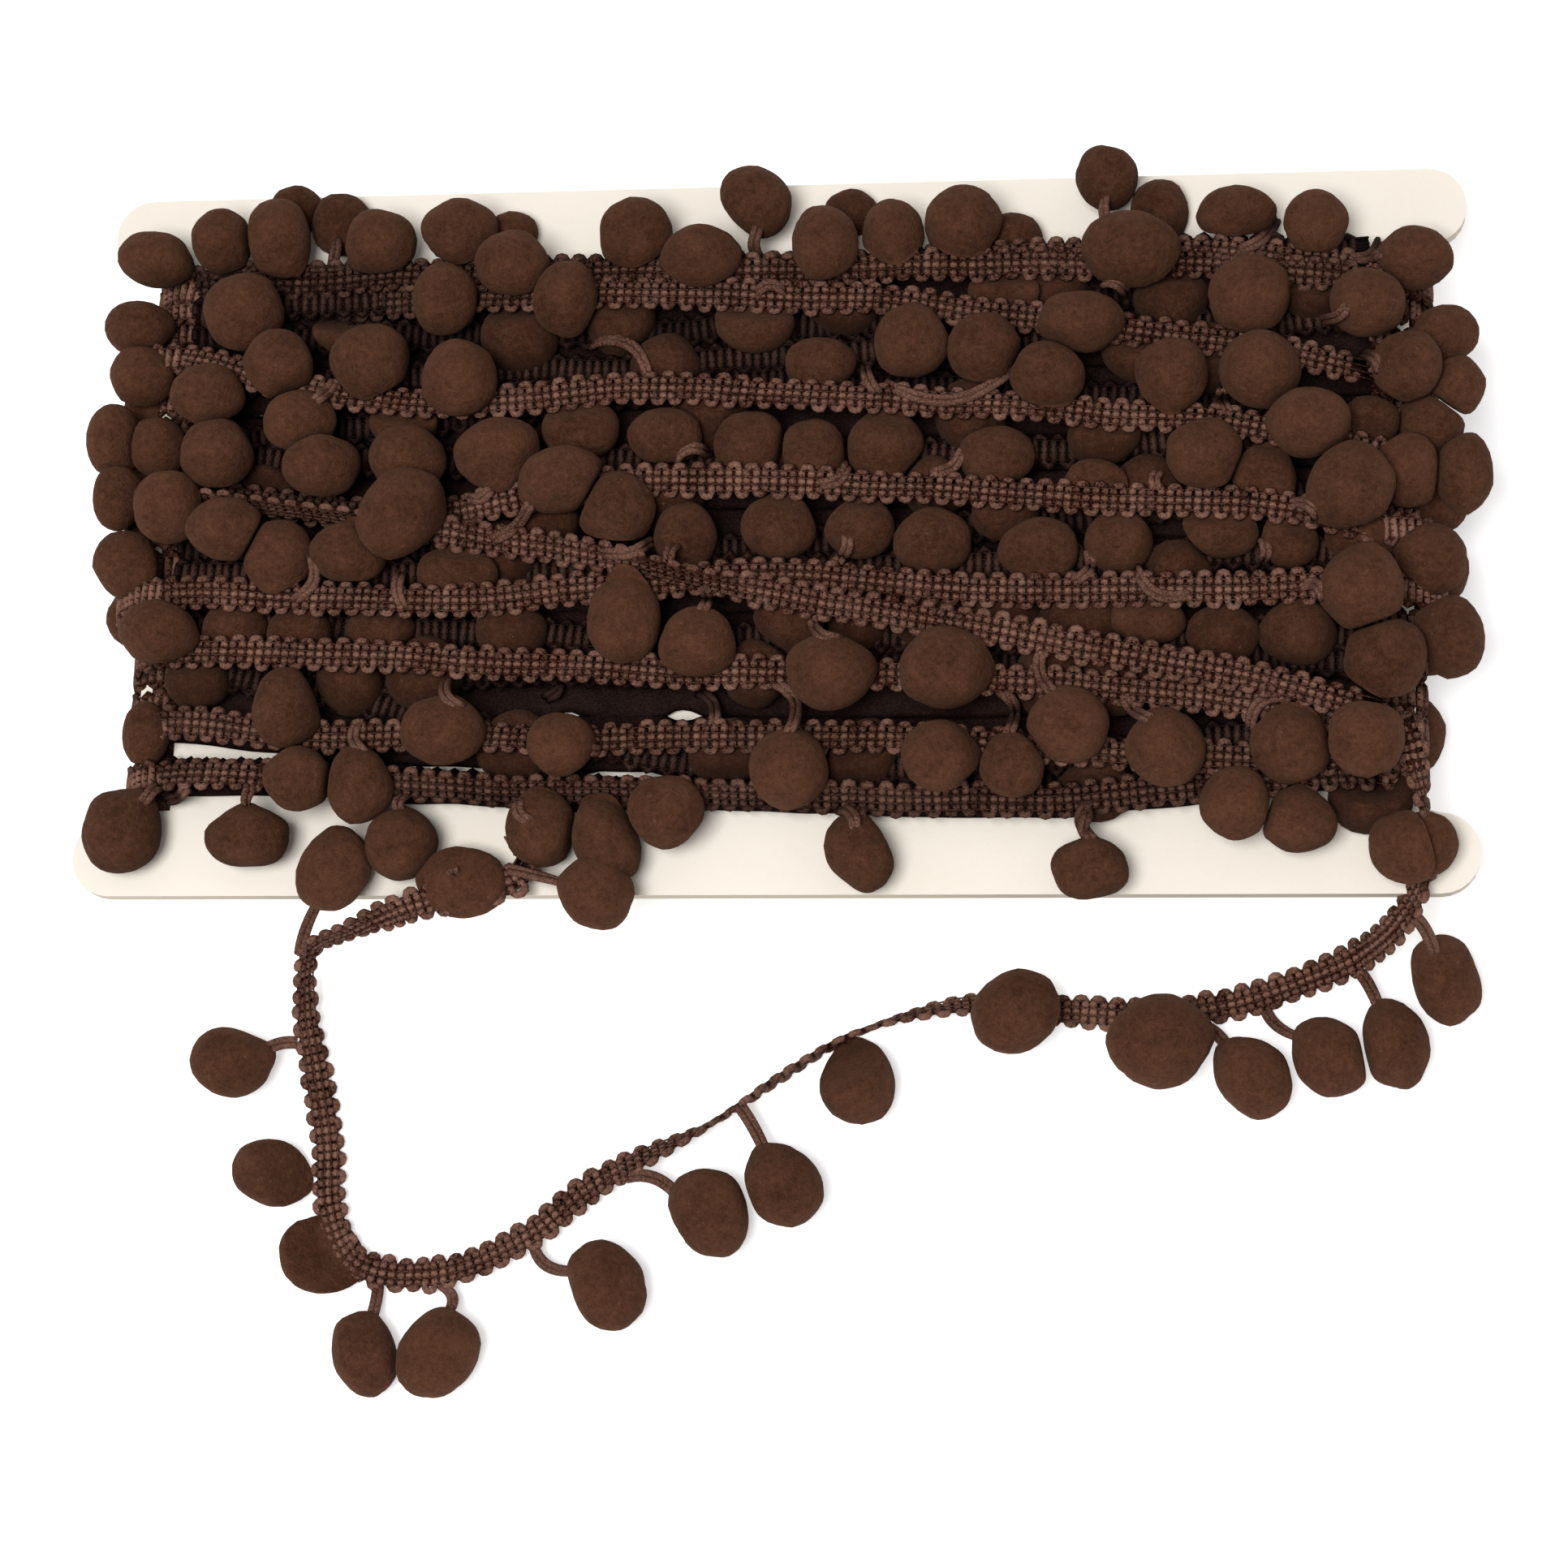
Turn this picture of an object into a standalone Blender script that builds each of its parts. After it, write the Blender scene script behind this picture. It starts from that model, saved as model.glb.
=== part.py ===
"""Pompom fringe trim: a narrow gimp braid with felted pompoms on short stems, wound round a
notched winding card, with one loose end that hangs off the card and loops over the table.

Metres, +Z up. The card lies level with its long side along X. The origin is on the table,
under the middle of the card. Places in the tables are in millimetres.
"""

import math
from collections import namedtuple

import bmesh
import bpy
from mathutils import Matrix, Vector

MM = 0.001

# Winding card
CARD_LENGTH = 0.200
CARD_WIDTH = 0.107
CARD_THICKNESS = 0.0024
CARD_UNDERSIDE = 0.0136
WAIST_HALF_LENGTH = 0.0915
NOTCH_HALF_WIDTH = 0.042
NOTCH_SLOPE = 0.0007
LOBE_CORNER = 0.0055
ARC_STEPS = 6
WELD_DISTANCE = 0.00001
TOUCH_GAP = 0.0003
LOOSE_CLEARANCE = 0.0005

# Gimp braid
BRAID_WIDTH = 0.005
BRAID_THICKNESS = 0.0014

# Pompoms and their stems
POMPOM_RADIUS = 0.0056
STEM_WIDTH = 0.0020
STEM_DEPTH = 0.0014
POMPOM_SIDES = 8
POMPOM_RINGS = 6

# Inner turns, which fill the space between the card and the turns that show
CORE_TOP = 0.0225
CORE_BOTTOM = 0.0050
CORE_LEFT = -0.0850
CORE_RIGHT = 0.0860
CORE_LOW_EDGE = -0.0410
CORE_HIGH_EDGE = 0.0400
CORE_SIDES = 32
FUSE_SIZE = 0.0010
SOFTEN_STEPS = 3
COARSEN_RATIO = 0.036
CORE_MIDDLE = (CORE_TOP + CORE_BOTTOM) / 2
CORE_RADIUS = (CORE_TOP - CORE_BOTTOM) / 2

# The turns that show, from the card's far edge to its near edge. Heights are the braid's
# places across the card at the five stations along it. Lift is the braid's height over the
# inner turns, and raised that of its pompoms. Hang is the side that the pompoms hang to, and
# reach how far they lie from the braid.
STATIONS = (-88, -44, 0, 44, 88)
Turn = namedtuple("Turn", "name heights lift hang reach raised pompoms stems")
TURNS = (
    Turn("first", (40, 40, 40, 39, 37), -0.6, 1, 6.5, -0.2,
         (-70, -62, -37, -1, 12, 35, 49, 56), True),
    Turn("second", (38, 38, 37.5, 37, 35), 0.4, 1, 5.5, 1.2,
         (-80, -72, -57, -45, -19, -9, 9, 18, 28, 53, 67, 78, 91), True),
    Turn("third", (35.5, 34.5, 33, 28.5, 20), 0.6, -1, 4.0, 1.0,
         (-77, -61, -46, -35, -28, -1, 35, 45, 69, 85), False),
    Turn("fourth", (24, 17, 17.5, 14.5, 8), 2.0, 1, 7.0, 1.2,
         (-82, -70, -57, -44, -20, 8, 21, 31, 41, 58, 70), False),
    Turn("fifth", (5, 1.5, 4, 1.6, -2.5), 2.2, 1, 7.0, 1.0,
         (-86, -76, -64, -51, -38, -26, -14, -1, 8, 18, 33, 47, 62, 72, 84), False),
    Turn("sixth", (-11, -13, -9.8, -12.3, -12.3), 2.2, 1, 7.5, 1.2,
         (-85, -74, -61, -50, -30, -19, -9, 3, 14, 26, 39, 51, 63, 75, 86), False),
    Turn("seventh", (-19, -21.5, -23.8, -25.5, -30), 1.4, 1, 5.0, -0.8,
         (-86, -75, -65, -54, -43, -34, 55, 65, 76, 87), False),
    Turn("eighth", (-30.5, -32.2, -32.5, -34.5, -36), 0.0, -1, 6.0, 0.8,
         (-80, -64, -55, -44, -27, -12, 5, 26, 36, 48, 67, 76), True),
    Turn("ninth", (-38.2, -39.5, -41, -42, -38), -1.6, -1, 8.0, -0.6,
         (-88, -71, -49, -29, -20, 15, 47, 76), True),
    Turn("outermost", (4, -3, -12.5, -20.8, -30.5), 4.2, -1, 8.0, 4.4,
         (-50, -19, -8, 11, 26, 44, 57, 74), False),
)
FRONT_STEPS = 8
END_STEPS = 4

# Pompoms round the card's two ends, in staggered files
EndFile = namedtuple("EndFile", "angle first pitch count")
END_FILES = (
    EndFile(8, -33, 10.2, 8),
    EndFile(-48, -36, 10.6, 7),
)
END_SINK = 0.0010

# Pompoms under the card, pressed flat by the weight
UNDER_PITCH_X = 0.0190
UNDER_PITCH_Y = 0.0125
UNDER_COLUMNS = 9
UNDER_ROWS = 7
UNDER_HEIGHT = 0.0038

# The loose end: its centreline from where it leaves the last turn, the lift of its lower edge
# over the table, and how far the braid is rolled about its run in degrees. At 0 it lies face
# up with its fringed edge on the left.
RoutePoint = namedtuple("RoutePoint", "x y lift roll")
ROUTE = (
    RoutePoint(89.2, -31.2, 24.4, 178),
    RoutePoint(92.5, -35.5, 21.5, 150),
    RoutePoint(94.2, -41.5, 18.6, 110),
    RoutePoint(94.4, -47.5, 17.0, 80),
    RoutePoint(92.8, -53.0, 16.4, 50),
    RoutePoint(89.0, -58.0, 11.0, 25),
    RoutePoint(84.0, -61.5, 3.5, 5),
    RoutePoint(76.0, -64.5, 0.0, 0),
    RoutePoint(66.0, -67.0, 0.0, 0),
    RoutePoint(54.0, -67.8, 0.3, 5),
    RoutePoint(43.0, -67.2, 0.2, 10),
    RoutePoint(32.0, -67.0, 0.0, 35),
    RoutePoint(22.0, -68.8, 0.0, 65),
    RoutePoint(12.0, -72.2, 0.0, 85),
    RoutePoint(2.5, -78.0, 0.0, 90),
    RoutePoint(-7.0, -84.5, 0.0, 80),
    RoutePoint(-17.0, -88.6, 0.0, 45),
    RoutePoint(-26.0, -93.2, 0.0, 12),
    RoutePoint(-34.0, -99.6, 0.0, 20),
    RoutePoint(-43.0, -105.0, 0.0, 20),
    RoutePoint(-52.0, -106.6, 0.0, 0),
    RoutePoint(-59.5, -104.0, 0.0, -20),
    RoutePoint(-63.4, -96.5, 0.0, -10),
    RoutePoint(-64.6, -86.5, 0.0, 0),
    RoutePoint(-66.8, -76.0, 0.0, 35),
    RoutePoint(-68.3, -67.0, 2.0, 60),
    RoutePoint(-66.5, -59.5, 7.0, 85),
    RoutePoint(-58.5, -57.2, 12.5, 80),
    RoutePoint(-50.0, -55.8, 18.0, 40),
    RoutePoint(-41.5, -54.2, 20.4, 5),
    RoutePoint(-34.5, -52.2, 19.2, 0),
    RoutePoint(-32.4, -48.0, 17.4, 0),
)
ROUTE_STEPS_BETWEEN = 2

# Pompoms of the loose end: where the stem leaves the braid, the pompom's middle, the lift of
# its underside over the table, and how much of its height is left where something presses it.
LoosePompom = namedtuple("LoosePompom", "root_x root_y x y lift height")
LOOSE_POMPOMS = (
    LoosePompom(94.4, -46.0, 88.0, -48.4, 16.6, 1.0),
    LoosePompom(90.5, -55.5, 95.3, -63.3, 0.0, 1.0),
    LoosePompom(83.0, -61.8, 89.3, -73.6, 0.0, 1.0),
    LoosePompom(71.8, -66.0, 78.6, -75.4, 0.0, 1.0),
    LoosePompom(63.0, -67.4, 66.2, -78.6, 0.0, 1.0),
    LoosePompom(54.0, -67.8, 54.6, -74.8, 0.0, 1.0),
    LoosePompom(36.0, -67.0, 35.7, -71.0, 2.0, 1.0),
    LoosePompom(15.0, -71.0, 13.4, -78.9, 0.0, 1.0),
    LoosePompom(-2.9, -82.0, 4.2, -93.4, 0.0, 1.0),
    LoosePompom(-18.5, -89.3, -8.0, -98.0, 0.0, 1.0),
    LoosePompom(-33.4, -99.2, -21.2, -106.9, 0.0, 1.0),
    LoosePompom(-44.9, -105.5, -44.8, -117.4, 0.0, 1.0),
    LoosePompom(-55.7, -106.0, -56.4, -117.2, 0.0, 1.0),
    LoosePompom(-61.5, -101.0, -70.0, -103.2, 0.0, 0.8),
    LoosePompom(-64.4, -89.4, -72.6, -91.8, 0.0, 1.0),
    LoosePompom(-67.2, -74.2, -78.6, -76.0, 0.0, 1.0),
    LoosePompom(-66.9, -60.5, -60.6, -50.4, 16.6, 1.0),
    LoosePompom(-41.5, -54.2, -41.2, -52.2, 16.6, 0.58),
    LoosePompom(-34.2, -51.8, -23.2, -52.0, 16.6, 1.0),
)

CARD_CREAM = (0.86, 0.82, 0.74, 1.0)
TRIM_BROWN = (0.075, 0.038, 0.024, 1.0)


def clear_scene():
    for obj in list(bpy.data.objects):
        bpy.data.objects.remove(obj, do_unlink=True)


def new_collection(name):
    collection = bpy.data.collections.new(name)
    bpy.context.scene.collection.children.link(collection)
    return collection


def principled(name, colour, roughness):
    material = bpy.data.materials.new(name)
    material.use_nodes = True
    shader = material.node_tree.nodes["Principled BSDF"]
    shader.inputs["Base Color"].default_value = colour
    shader.inputs["Roughness"].default_value = roughness
    shader.inputs["Metallic"].default_value = 0.0
    return material


def add_object(name, mesh, collection, material=None):
    obj = bpy.data.objects.new(name, mesh)
    collection.objects.link(obj)
    if material:
        mesh.materials.append(material)
    return obj


def mesh_from(bm, name):
    bmesh.ops.recalc_face_normals(bm, faces=bm.faces)
    mesh = bpy.data.meshes.new(name)
    bm.to_mesh(mesh)
    bm.free()
    return mesh


def hide_helper(obj):
    obj.hide_render = True
    obj.display_type = "WIRE"


def sway(place, row):
    """An unevenness from -1 to 1 that looks random and is the same each run."""
    return math.sin(place * 1.913 + row * 4.271 + 0.7 * math.sin(place * 0.37 + row))


# The card


def arc(centre_x, centre_y, radius, start, end):
    """Points on an arc, in degrees, with both ends."""
    turn = (end - start) / ARC_STEPS
    angles = [math.radians(start + turn * i) for i in range(ARC_STEPS + 1)]
    return [(centre_x + radius * math.cos(a), centre_y + radius * math.sin(a)) for a in angles]


def card_quarter(grow):
    """The card's outline in its upper right quarter, from the waist to the far edge."""
    waist = WAIST_HALF_LENGTH + grow
    notch = NOTCH_HALF_WIDTH - grow
    far_x = CARD_LENGTH / 2 + grow
    far_y = CARD_WIDTH / 2 + grow
    corner = LOBE_CORNER + grow
    lower = arc(far_x - corner, notch + corner, corner, -90, 0)
    upper = arc(far_x - corner, far_y - corner, corner, 0, 90)
    return [(waist, notch - NOTCH_SLOPE)] + lower + upper[1:]


def card_outline(grow=0.0):
    quarter = card_quarter(grow)
    top = quarter + [(-x, y) for x, y in reversed(quarter)]
    return top + [(-x, -y) for x, y in top]


def card_mesh(name, grow=0.0):
    """The flat card: its outline as a filled 2D curve, made a mesh and welded."""
    curve = bpy.data.curves.new(name + "_outline", "CURVE")
    curve.dimensions = "2D"
    curve.fill_mode = "BOTH"
    curve.extrude = CARD_THICKNESS / 2 + grow
    outline = card_outline(grow)
    spline = curve.splines.new("POLY")
    spline.points.add(len(outline) - 1)
    spline.use_cyclic_u = True
    for point, (x, y) in zip(spline.points, outline):
        point.co = (x, y, 0, 1)
    drawn = bpy.data.objects.new(name + "_outline", curve)
    bpy.context.scene.collection.objects.link(drawn)
    evaluated = drawn.evaluated_get(bpy.context.evaluated_depsgraph_get())
    filled = bpy.data.meshes.new_from_object(evaluated)
    bpy.data.objects.remove(drawn, do_unlink=True)
    bm = bmesh.new()
    bm.from_mesh(filled)
    bpy.data.meshes.remove(filled)
    bmesh.ops.remove_doubles(bm, verts=bm.verts, dist=WELD_DISTANCE)
    bmesh.ops.translate(bm, verts=bm.verts, vec=(0, 0, CARD_UNDERSIDE + CARD_THICKNESS / 2))
    return mesh_from(bm, name)


# Shapes of the trim


def add_pompom(bm, centre, radius, stretch=1.0, height=1.0, turned=0.0):
    """A faceted ball, a little longer along one level direction."""
    size = Matrix.Diagonal((radius * stretch, radius, radius * height, 1))
    place = Matrix.Translation(centre) @ Matrix.Rotation(turned, 4, "Z") @ size
    bmesh.ops.create_uvsphere(
        bm, u_segments=POMPOM_SIDES, v_segments=POMPOM_RINGS, radius=1, matrix=place)


def add_loft(bm, sections):
    """A closed strip through four-cornered sections that turn as they go."""
    rings = [[bm.verts.new(corner) for corner in section] for section in sections]
    for ring, after in zip(rings, rings[1:]):
        for i in range(4):
            j = (i + 1) % 4
            bm.faces.new((ring[i], ring[j], after[j], after[i]))
    bm.faces.new(list(reversed(rings[0])))
    bm.faces.new(rings[-1])


def section_at(middle, across, up, width, depth):
    side = across * (width / 2)
    rise = up * (depth / 2)
    return [middle - side - rise, middle + side - rise, middle + side + rise, middle - side + rise]


def add_stem(bm, root, end, grow=0.0):
    """A four-sided strand between the braid and a pompom."""
    along = (end - root).normalized()
    across = along.cross(Vector((0, 0, 1))).normalized()
    up = across.cross(along)
    width, depth = STEM_WIDTH + 2 * grow, STEM_DEPTH + 2 * grow
    add_loft(bm, [section_at(p, across, up, width, depth) for p in (root, end)])


# The wound turns


def height_at(turn, x):
    """The braid's place across the card, smoothly between the stations."""
    x = min(max(x, STATIONS[0]), STATIONS[-1])
    i = max(k for k in range(len(STATIONS) - 1) if x >= STATIONS[k])
    share = (x - STATIONS[i]) / (STATIONS[i + 1] - STATIONS[i])
    eased = share * share * (3 - 2 * share)
    return turn.heights[i] + (turn.heights[i + 1] - turn.heights[i]) * eased


def turn_path(turn, following):
    """One turn: over the card, round its right end, under it and round its left end.
    Each point is its place, the direction away from the card, and the lift."""
    lift = turn.lift * MM
    radius = CORE_RADIUS + BRAID_THICKNESS / 2 + lift
    left, right = CORE_LEFT, CORE_RIGHT
    y_right = height_at(turn, STATIONS[-1]) * MM
    y_next = height_at(following, STATIONS[0]) * MM
    path = []
    for i in range(FRONT_STEPS + 1):
        x = left + (right - left) * i / FRONT_STEPS
        y = height_at(turn, x / MM) * MM
        path.append((Vector((x, y, CORE_MIDDLE + radius)), Vector((0, 0, 1)), lift))
    for centre_x, y, start in ((right, y_right, 90), (left, y_next, 270)):
        for i in range(1, END_STEPS + 1):
            angle = math.radians(start - 180 * i / END_STEPS)
            outward = Vector((math.cos(angle), 0, math.sin(angle)))
            if start > 180:
                outward.x = -abs(outward.x)
            place = Vector((centre_x, y, CORE_MIDDLE)) + outward * radius
            path.append((place, outward, lift))
        if start < 180:
            place = Vector((left, y_next, CORE_MIDDLE - radius))
            path.append((place, Vector((0, 0, -1)), lift))
    return path


def braid_sections(path):
    """Four-cornered sections of the braid along a path. They reach down to what it is wound
    on, so that no thin gap is left under a lifted turn."""
    sections = []
    for i, (place, outward, lift) in enumerate(path):
        before, after = path[max(i - 1, 0)][0], path[min(i + 1, len(path) - 1)][0]
        along = (after - before).normalized()
        across = outward.cross(along).normalized()
        below = max(lift, 0.0) + BRAID_THICKNESS / 2
        middle = place - outward * (below / 2)
        sections.append(section_at(middle, across, outward, BRAID_WIDTH, BRAID_THICKNESS + below))
    return sections


def pompoms_of_turn(turn, row):
    """Places of a turn's pompoms over the card: (root, middle, radius)."""
    found = []
    top = CORE_TOP / MM
    for i, x in enumerate(turn.pompoms):
        y = height_at(turn, x)
        beyond = turn.hang * (turn.reach + 1.2 * sway(i, row))
        root = Vector((x + 1.5 * sway(i, row + 5), y, top + turn.lift + 0.7)) * MM
        middle = Vector((x, y + beyond, top + turn.raised + 0.8 * sway(i, row + 3))) * MM
        found.append((root, middle, POMPOM_RADIUS * (1 + 0.07 * sway(i, row + 9))))
    return found


def end_pompoms():
    """Places of the pompoms round both ends of the card."""
    found = []
    for side, centre_x in ((-1, CORE_LEFT), (1, CORE_RIGHT)):
        for row, file in enumerate(END_FILES):
            for i in range(file.count):
                angle = math.radians(file.angle + 9 * sway(i, row + 11 * side))
                reach = CORE_RADIUS + BRAID_THICKNESS - END_SINK
                y = (file.first + file.pitch * i + 1.3 * sway(i, row - 4 * side)) * MM
                x = centre_x + side * reach * math.cos(angle)
                z = CORE_MIDDLE + reach * math.sin(angle)
                found.append((Vector((x, y, z)), POMPOM_RADIUS * (1 + 0.05 * sway(i, row + 2))))
    return found


def under_pompoms():
    """Places of the pompoms under the card, in staggered rows. One is on the origin, where
    its pressed flat is the face that the part rests on."""
    found = []
    for row in range(UNDER_ROWS):
        y = (row - (UNDER_ROWS - 1) / 2) * UNDER_PITCH_Y
        stagger = UNDER_PITCH_X / 2 if row % 2 == 0 else 0.0
        columns = UNDER_COLUMNS - (row + 1) % 2
        for i in range(columns):
            x = (i - (UNDER_COLUMNS - 1) / 2) * UNDER_PITCH_X + stagger
            uneven = Vector((1.6 * sway(i, row), 1.0 * sway(i, row + 6), 0)) * MM
            if x == 0 and y == 0:
                uneven = Vector()
            found.append((Vector((x, y, UNDER_HEIGHT)) + uneven, POMPOM_RADIUS))
    return found


def add_core(bm):
    """The inner turns: a block with half-round ends, drawn out from a cylinder."""
    length = CORE_HIGH_EDGE - CORE_LOW_EDGE
    drawn = bmesh.ops.create_cone(
        bm, cap_ends=True, segments=CORE_SIDES, radius1=CORE_RADIUS, radius2=CORE_RADIUS,
        depth=length, matrix=Matrix.Rotation(math.pi / 2, 4, "X"))
    middle_y = (CORE_HIGH_EDGE + CORE_LOW_EDGE) / 2
    for vert in drawn["verts"]:
        vert.co.x += CORE_RIGHT if vert.co.x > 0 else CORE_LEFT
        vert.co += Vector((0, middle_y, CORE_MIDDLE))


def wound_mesh():
    """The inner turns and all on them: the braid's turns, the stems and the pompoms."""
    bm = bmesh.new()
    add_core(bm)
    path = []
    for turn, following in zip(TURNS, TURNS[1:] + TURNS[-1:]):
        path += turn_path(turn, following)
    path = path[: len(path) - 2 * END_STEPS - 1]
    add_loft(bm, braid_sections(path))
    for row, turn in enumerate(TURNS):
        for i, (root, middle, radius) in enumerate(pompoms_of_turn(turn, row)):
            add_pompom(bm, middle, radius, 1.06, 1.0, sway(i, row + 1) * math.pi)
            if turn.stems:
                add_stem(bm, root, middle)
    for i, (middle, radius) in enumerate(end_pompoms() + under_pompoms()):
        add_pompom(bm, middle, radius, 1.04, 1.0, sway(i, 2) * math.pi)
    return mesh_from(bm, "wound_trim")


def table_block_mesh():
    """A block whose top is the table, so that what is pressed on it ends flat."""
    bm = bmesh.new()
    block = Matrix.Translation((0, 0, -0.01)) @ Matrix.Diagonal((0.3, 0.3, 0.02, 1))
    bmesh.ops.create_cube(bm, size=1, matrix=block)
    return mesh_from(bm, "table_block")


def add_boolean(obj, other, operation):
    modifier = obj.modifiers.new(operation.title() + "_" + other.name, "BOOLEAN")
    modifier.object = other
    modifier.operation = operation
    modifier.use_self = operation == "UNION"


def make_wound_trim(collection, material):
    trim = add_object("wound_trim", wound_mesh(), collection, material)
    fuse = trim.modifiers.new("Fuse", "REMESH")
    fuse.mode = "VOXEL"
    fuse.voxel_size = FUSE_SIZE
    soften = trim.modifiers.new("Soften", "SMOOTH")
    soften.factor = 0.5
    soften.iterations = SOFTEN_STEPS
    coarsen = trim.modifiers.new("Coarsen", "DECIMATE")
    coarsen.ratio = COARSEN_RATIO
    return trim


# The loose end


def braid_height(lift, roll):
    """The centreline's height for a braid whose lower edge is lifted and which is rolled."""
    tilt = math.radians(roll)
    below = BRAID_WIDTH / 2 * abs(math.sin(tilt)) + BRAID_THICKNESS / 2 * abs(math.cos(tilt))
    return lift * MM + below


def between(a, b, c, d, t):
    """A smooth curve through b and c, for t from 0 to 1."""
    bend = 2 * a - 5 * b + 4 * c - d
    return 0.5 * (2 * b + (c - a) * t + bend * t**2 + (3 * b - a - 3 * c + d) * t**3)


def smooth_route():
    """The loose end's centreline and roll, with points between the route's own ones."""
    ends = (ROUTE[0],) + ROUTE + (ROUTE[-1],)
    found = []
    for a, b, c, d in zip(ends, ends[1:], ends[2:], ends[3:]):
        for i in range(ROUTE_STEPS_BETWEEN):
            t = i / ROUTE_STEPS_BETWEEN
            x = between(a.x, b.x, c.x, d.x, t) * MM
            y = between(a.y, b.y, c.y, d.y, t) * MM
            roll = b.roll + (c.roll - b.roll) * t
            found.append((Vector((x, y, braid_height(b.lift + (c.lift - b.lift) * t, roll))), roll))
    last = ROUTE[-1]
    end = Vector((last.x * MM, last.y * MM, braid_height(last.lift, last.roll)))
    return found + [(end, last.roll)]


def route_frames():
    """(place, direction of the fringed edge, direction of the face) along the loose end."""
    route = smooth_route()
    frames = []
    for i, (place, roll) in enumerate(route):
        before, after = route[max(i - 1, 0)][0], route[min(i + 1, len(route) - 1)][0]
        along = (after - before).normalized()
        left = Vector((0, 0, 1)).cross(along).normalized()
        turned = Matrix.Rotation(math.radians(roll), 3, along)
        fringe = turned @ left
        frames.append((place, fringe, along.cross(fringe).normalized()))
    return frames


def nearest_frame(frames, x, y):
    return min(frames, key=lambda f: (f[0].x - x * MM) ** 2 + (f[0].y - y * MM) ** 2)


def loose_braid_mesh(name, grow):
    """The loose braid, grown on all sides."""
    bm = bmesh.new()
    add_loft(bm, [
        section_at(place, -fringe, face, BRAID_WIDTH + 2 * grow, BRAID_THICKNESS + 2 * grow)
        for place, fringe, face in route_frames()
    ])
    return mesh_from(bm, name)


def loose_pompom_mesh(name, grow):
    """The loose end's pompoms with their stems, grown on all sides."""
    bm = bmesh.new()
    frames = route_frames()
    for i, pompom in enumerate(LOOSE_POMPOMS):
        place, fringe, _ = nearest_frame(frames, pompom.root_x, pompom.root_y)
        radius = POMPOM_RADIUS * (1 + 0.03 * sway(i, 4))
        height = pompom.lift * MM + radius * pompom.height
        middle = Vector((pompom.x * MM, pompom.y * MM, height))
        away = middle - place
        turned = math.atan2(away.y, away.x)
        add_pompom(bm, middle, radius + grow, 1.08, pompom.height, turned)
        add_stem(bm, place + fringe * (BRAID_WIDTH * 0.25), middle, grow)
    return mesh_from(bm, name)


def make_loose_shape(name, collection, helpers, grow=0.0, material=None):
    """The loose braid fused with its pompoms."""
    shape = add_object(name, loose_braid_mesh(name, grow), collection, material)
    pompoms_name = name + "_pompoms"
    pompoms = add_object(pompoms_name, loose_pompom_mesh(pompoms_name, grow), helpers)
    add_boolean(shape, pompoms, "UNION")
    return shape


def main():
    clear_scene()
    parts = new_collection("pompom_fringe_trim")
    helpers = new_collection("cutters_and_guides")
    cream = principled("card_board", CARD_CREAM, 0.7)
    brown = principled("brown_yarn", TRIM_BROWN, 0.95)

    add_object("card", card_mesh("card"), parts, cream)
    card_space = add_object("card_space", card_mesh("card_space", TOUCH_GAP), helpers)

    loose_end = make_loose_shape("loose_end", parts, helpers, material=brown)
    add_boolean(loose_end, card_space, "DIFFERENCE")
    loose_space = make_loose_shape("loose_space", helpers, helpers, grow=LOOSE_CLEARANCE)

    trim = make_wound_trim(parts, brown)
    table = add_object("table_block", table_block_mesh(), helpers)
    for cutter in (card_space, loose_space, table):
        add_boolean(trim, cutter, "DIFFERENCE")

    for helper in helpers.objects:
        hide_helper(helper)


main()
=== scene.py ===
# %% [markdown]
# # Pompom fringe trim, wound on a card
#
# The object is about nine metres of a small dressmaker's trim: a looped gimp braid, half a
# centimetre wide, with felted pompoms that hang from it on short double yarns. It is wound
# round a notched card, and its free end has slipped off and lies in a loop on the table.
#
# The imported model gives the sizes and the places. This lesson lays the fine trim over it:
# the braid's loops, each pompom, each stem, and the board and yarn they are made of.

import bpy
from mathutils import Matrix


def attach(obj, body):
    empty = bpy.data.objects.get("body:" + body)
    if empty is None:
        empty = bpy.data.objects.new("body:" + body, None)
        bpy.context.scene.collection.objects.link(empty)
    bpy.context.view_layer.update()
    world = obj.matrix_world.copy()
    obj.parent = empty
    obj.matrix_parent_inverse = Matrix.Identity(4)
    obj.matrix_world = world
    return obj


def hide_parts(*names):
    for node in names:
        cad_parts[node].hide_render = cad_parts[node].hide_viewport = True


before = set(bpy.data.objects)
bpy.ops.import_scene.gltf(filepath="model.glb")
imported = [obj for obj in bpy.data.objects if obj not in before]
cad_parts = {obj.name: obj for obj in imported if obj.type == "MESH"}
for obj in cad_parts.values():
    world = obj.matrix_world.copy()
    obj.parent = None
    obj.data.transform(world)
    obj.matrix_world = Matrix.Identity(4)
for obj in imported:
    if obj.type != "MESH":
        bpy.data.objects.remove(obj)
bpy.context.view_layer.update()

# %% What the lesson uses
import math
from collections import namedtuple

import bpy
import numpy as np
from mathutils import Matrix, Vector, noise
from mathutils.bvhtree import BVHTree

MM = 0.001

# %% [markdown]
# ## The camera
#
# The photograph is taken almost from above, and the card lies askew in it. The card is a
# known rectangle, so its four corners fix the camera: how far it is turned round the card,
# how high it stands, how far it is rolled, and how long its lens is. Depth of field stays off.

# %% Camera
CAMERA_TARGET = Vector((3.14, -37.46, 16.0)) * MM
CAMERA_DISTANCE = 516.7 * MM
CAMERA_AZIMUTH = math.radians(27.13)
CAMERA_ELEVATION = math.radians(74.43)
CAMERA_ROLL = math.radians(-26.6)
CAMERA_LENS = 83.85


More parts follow.
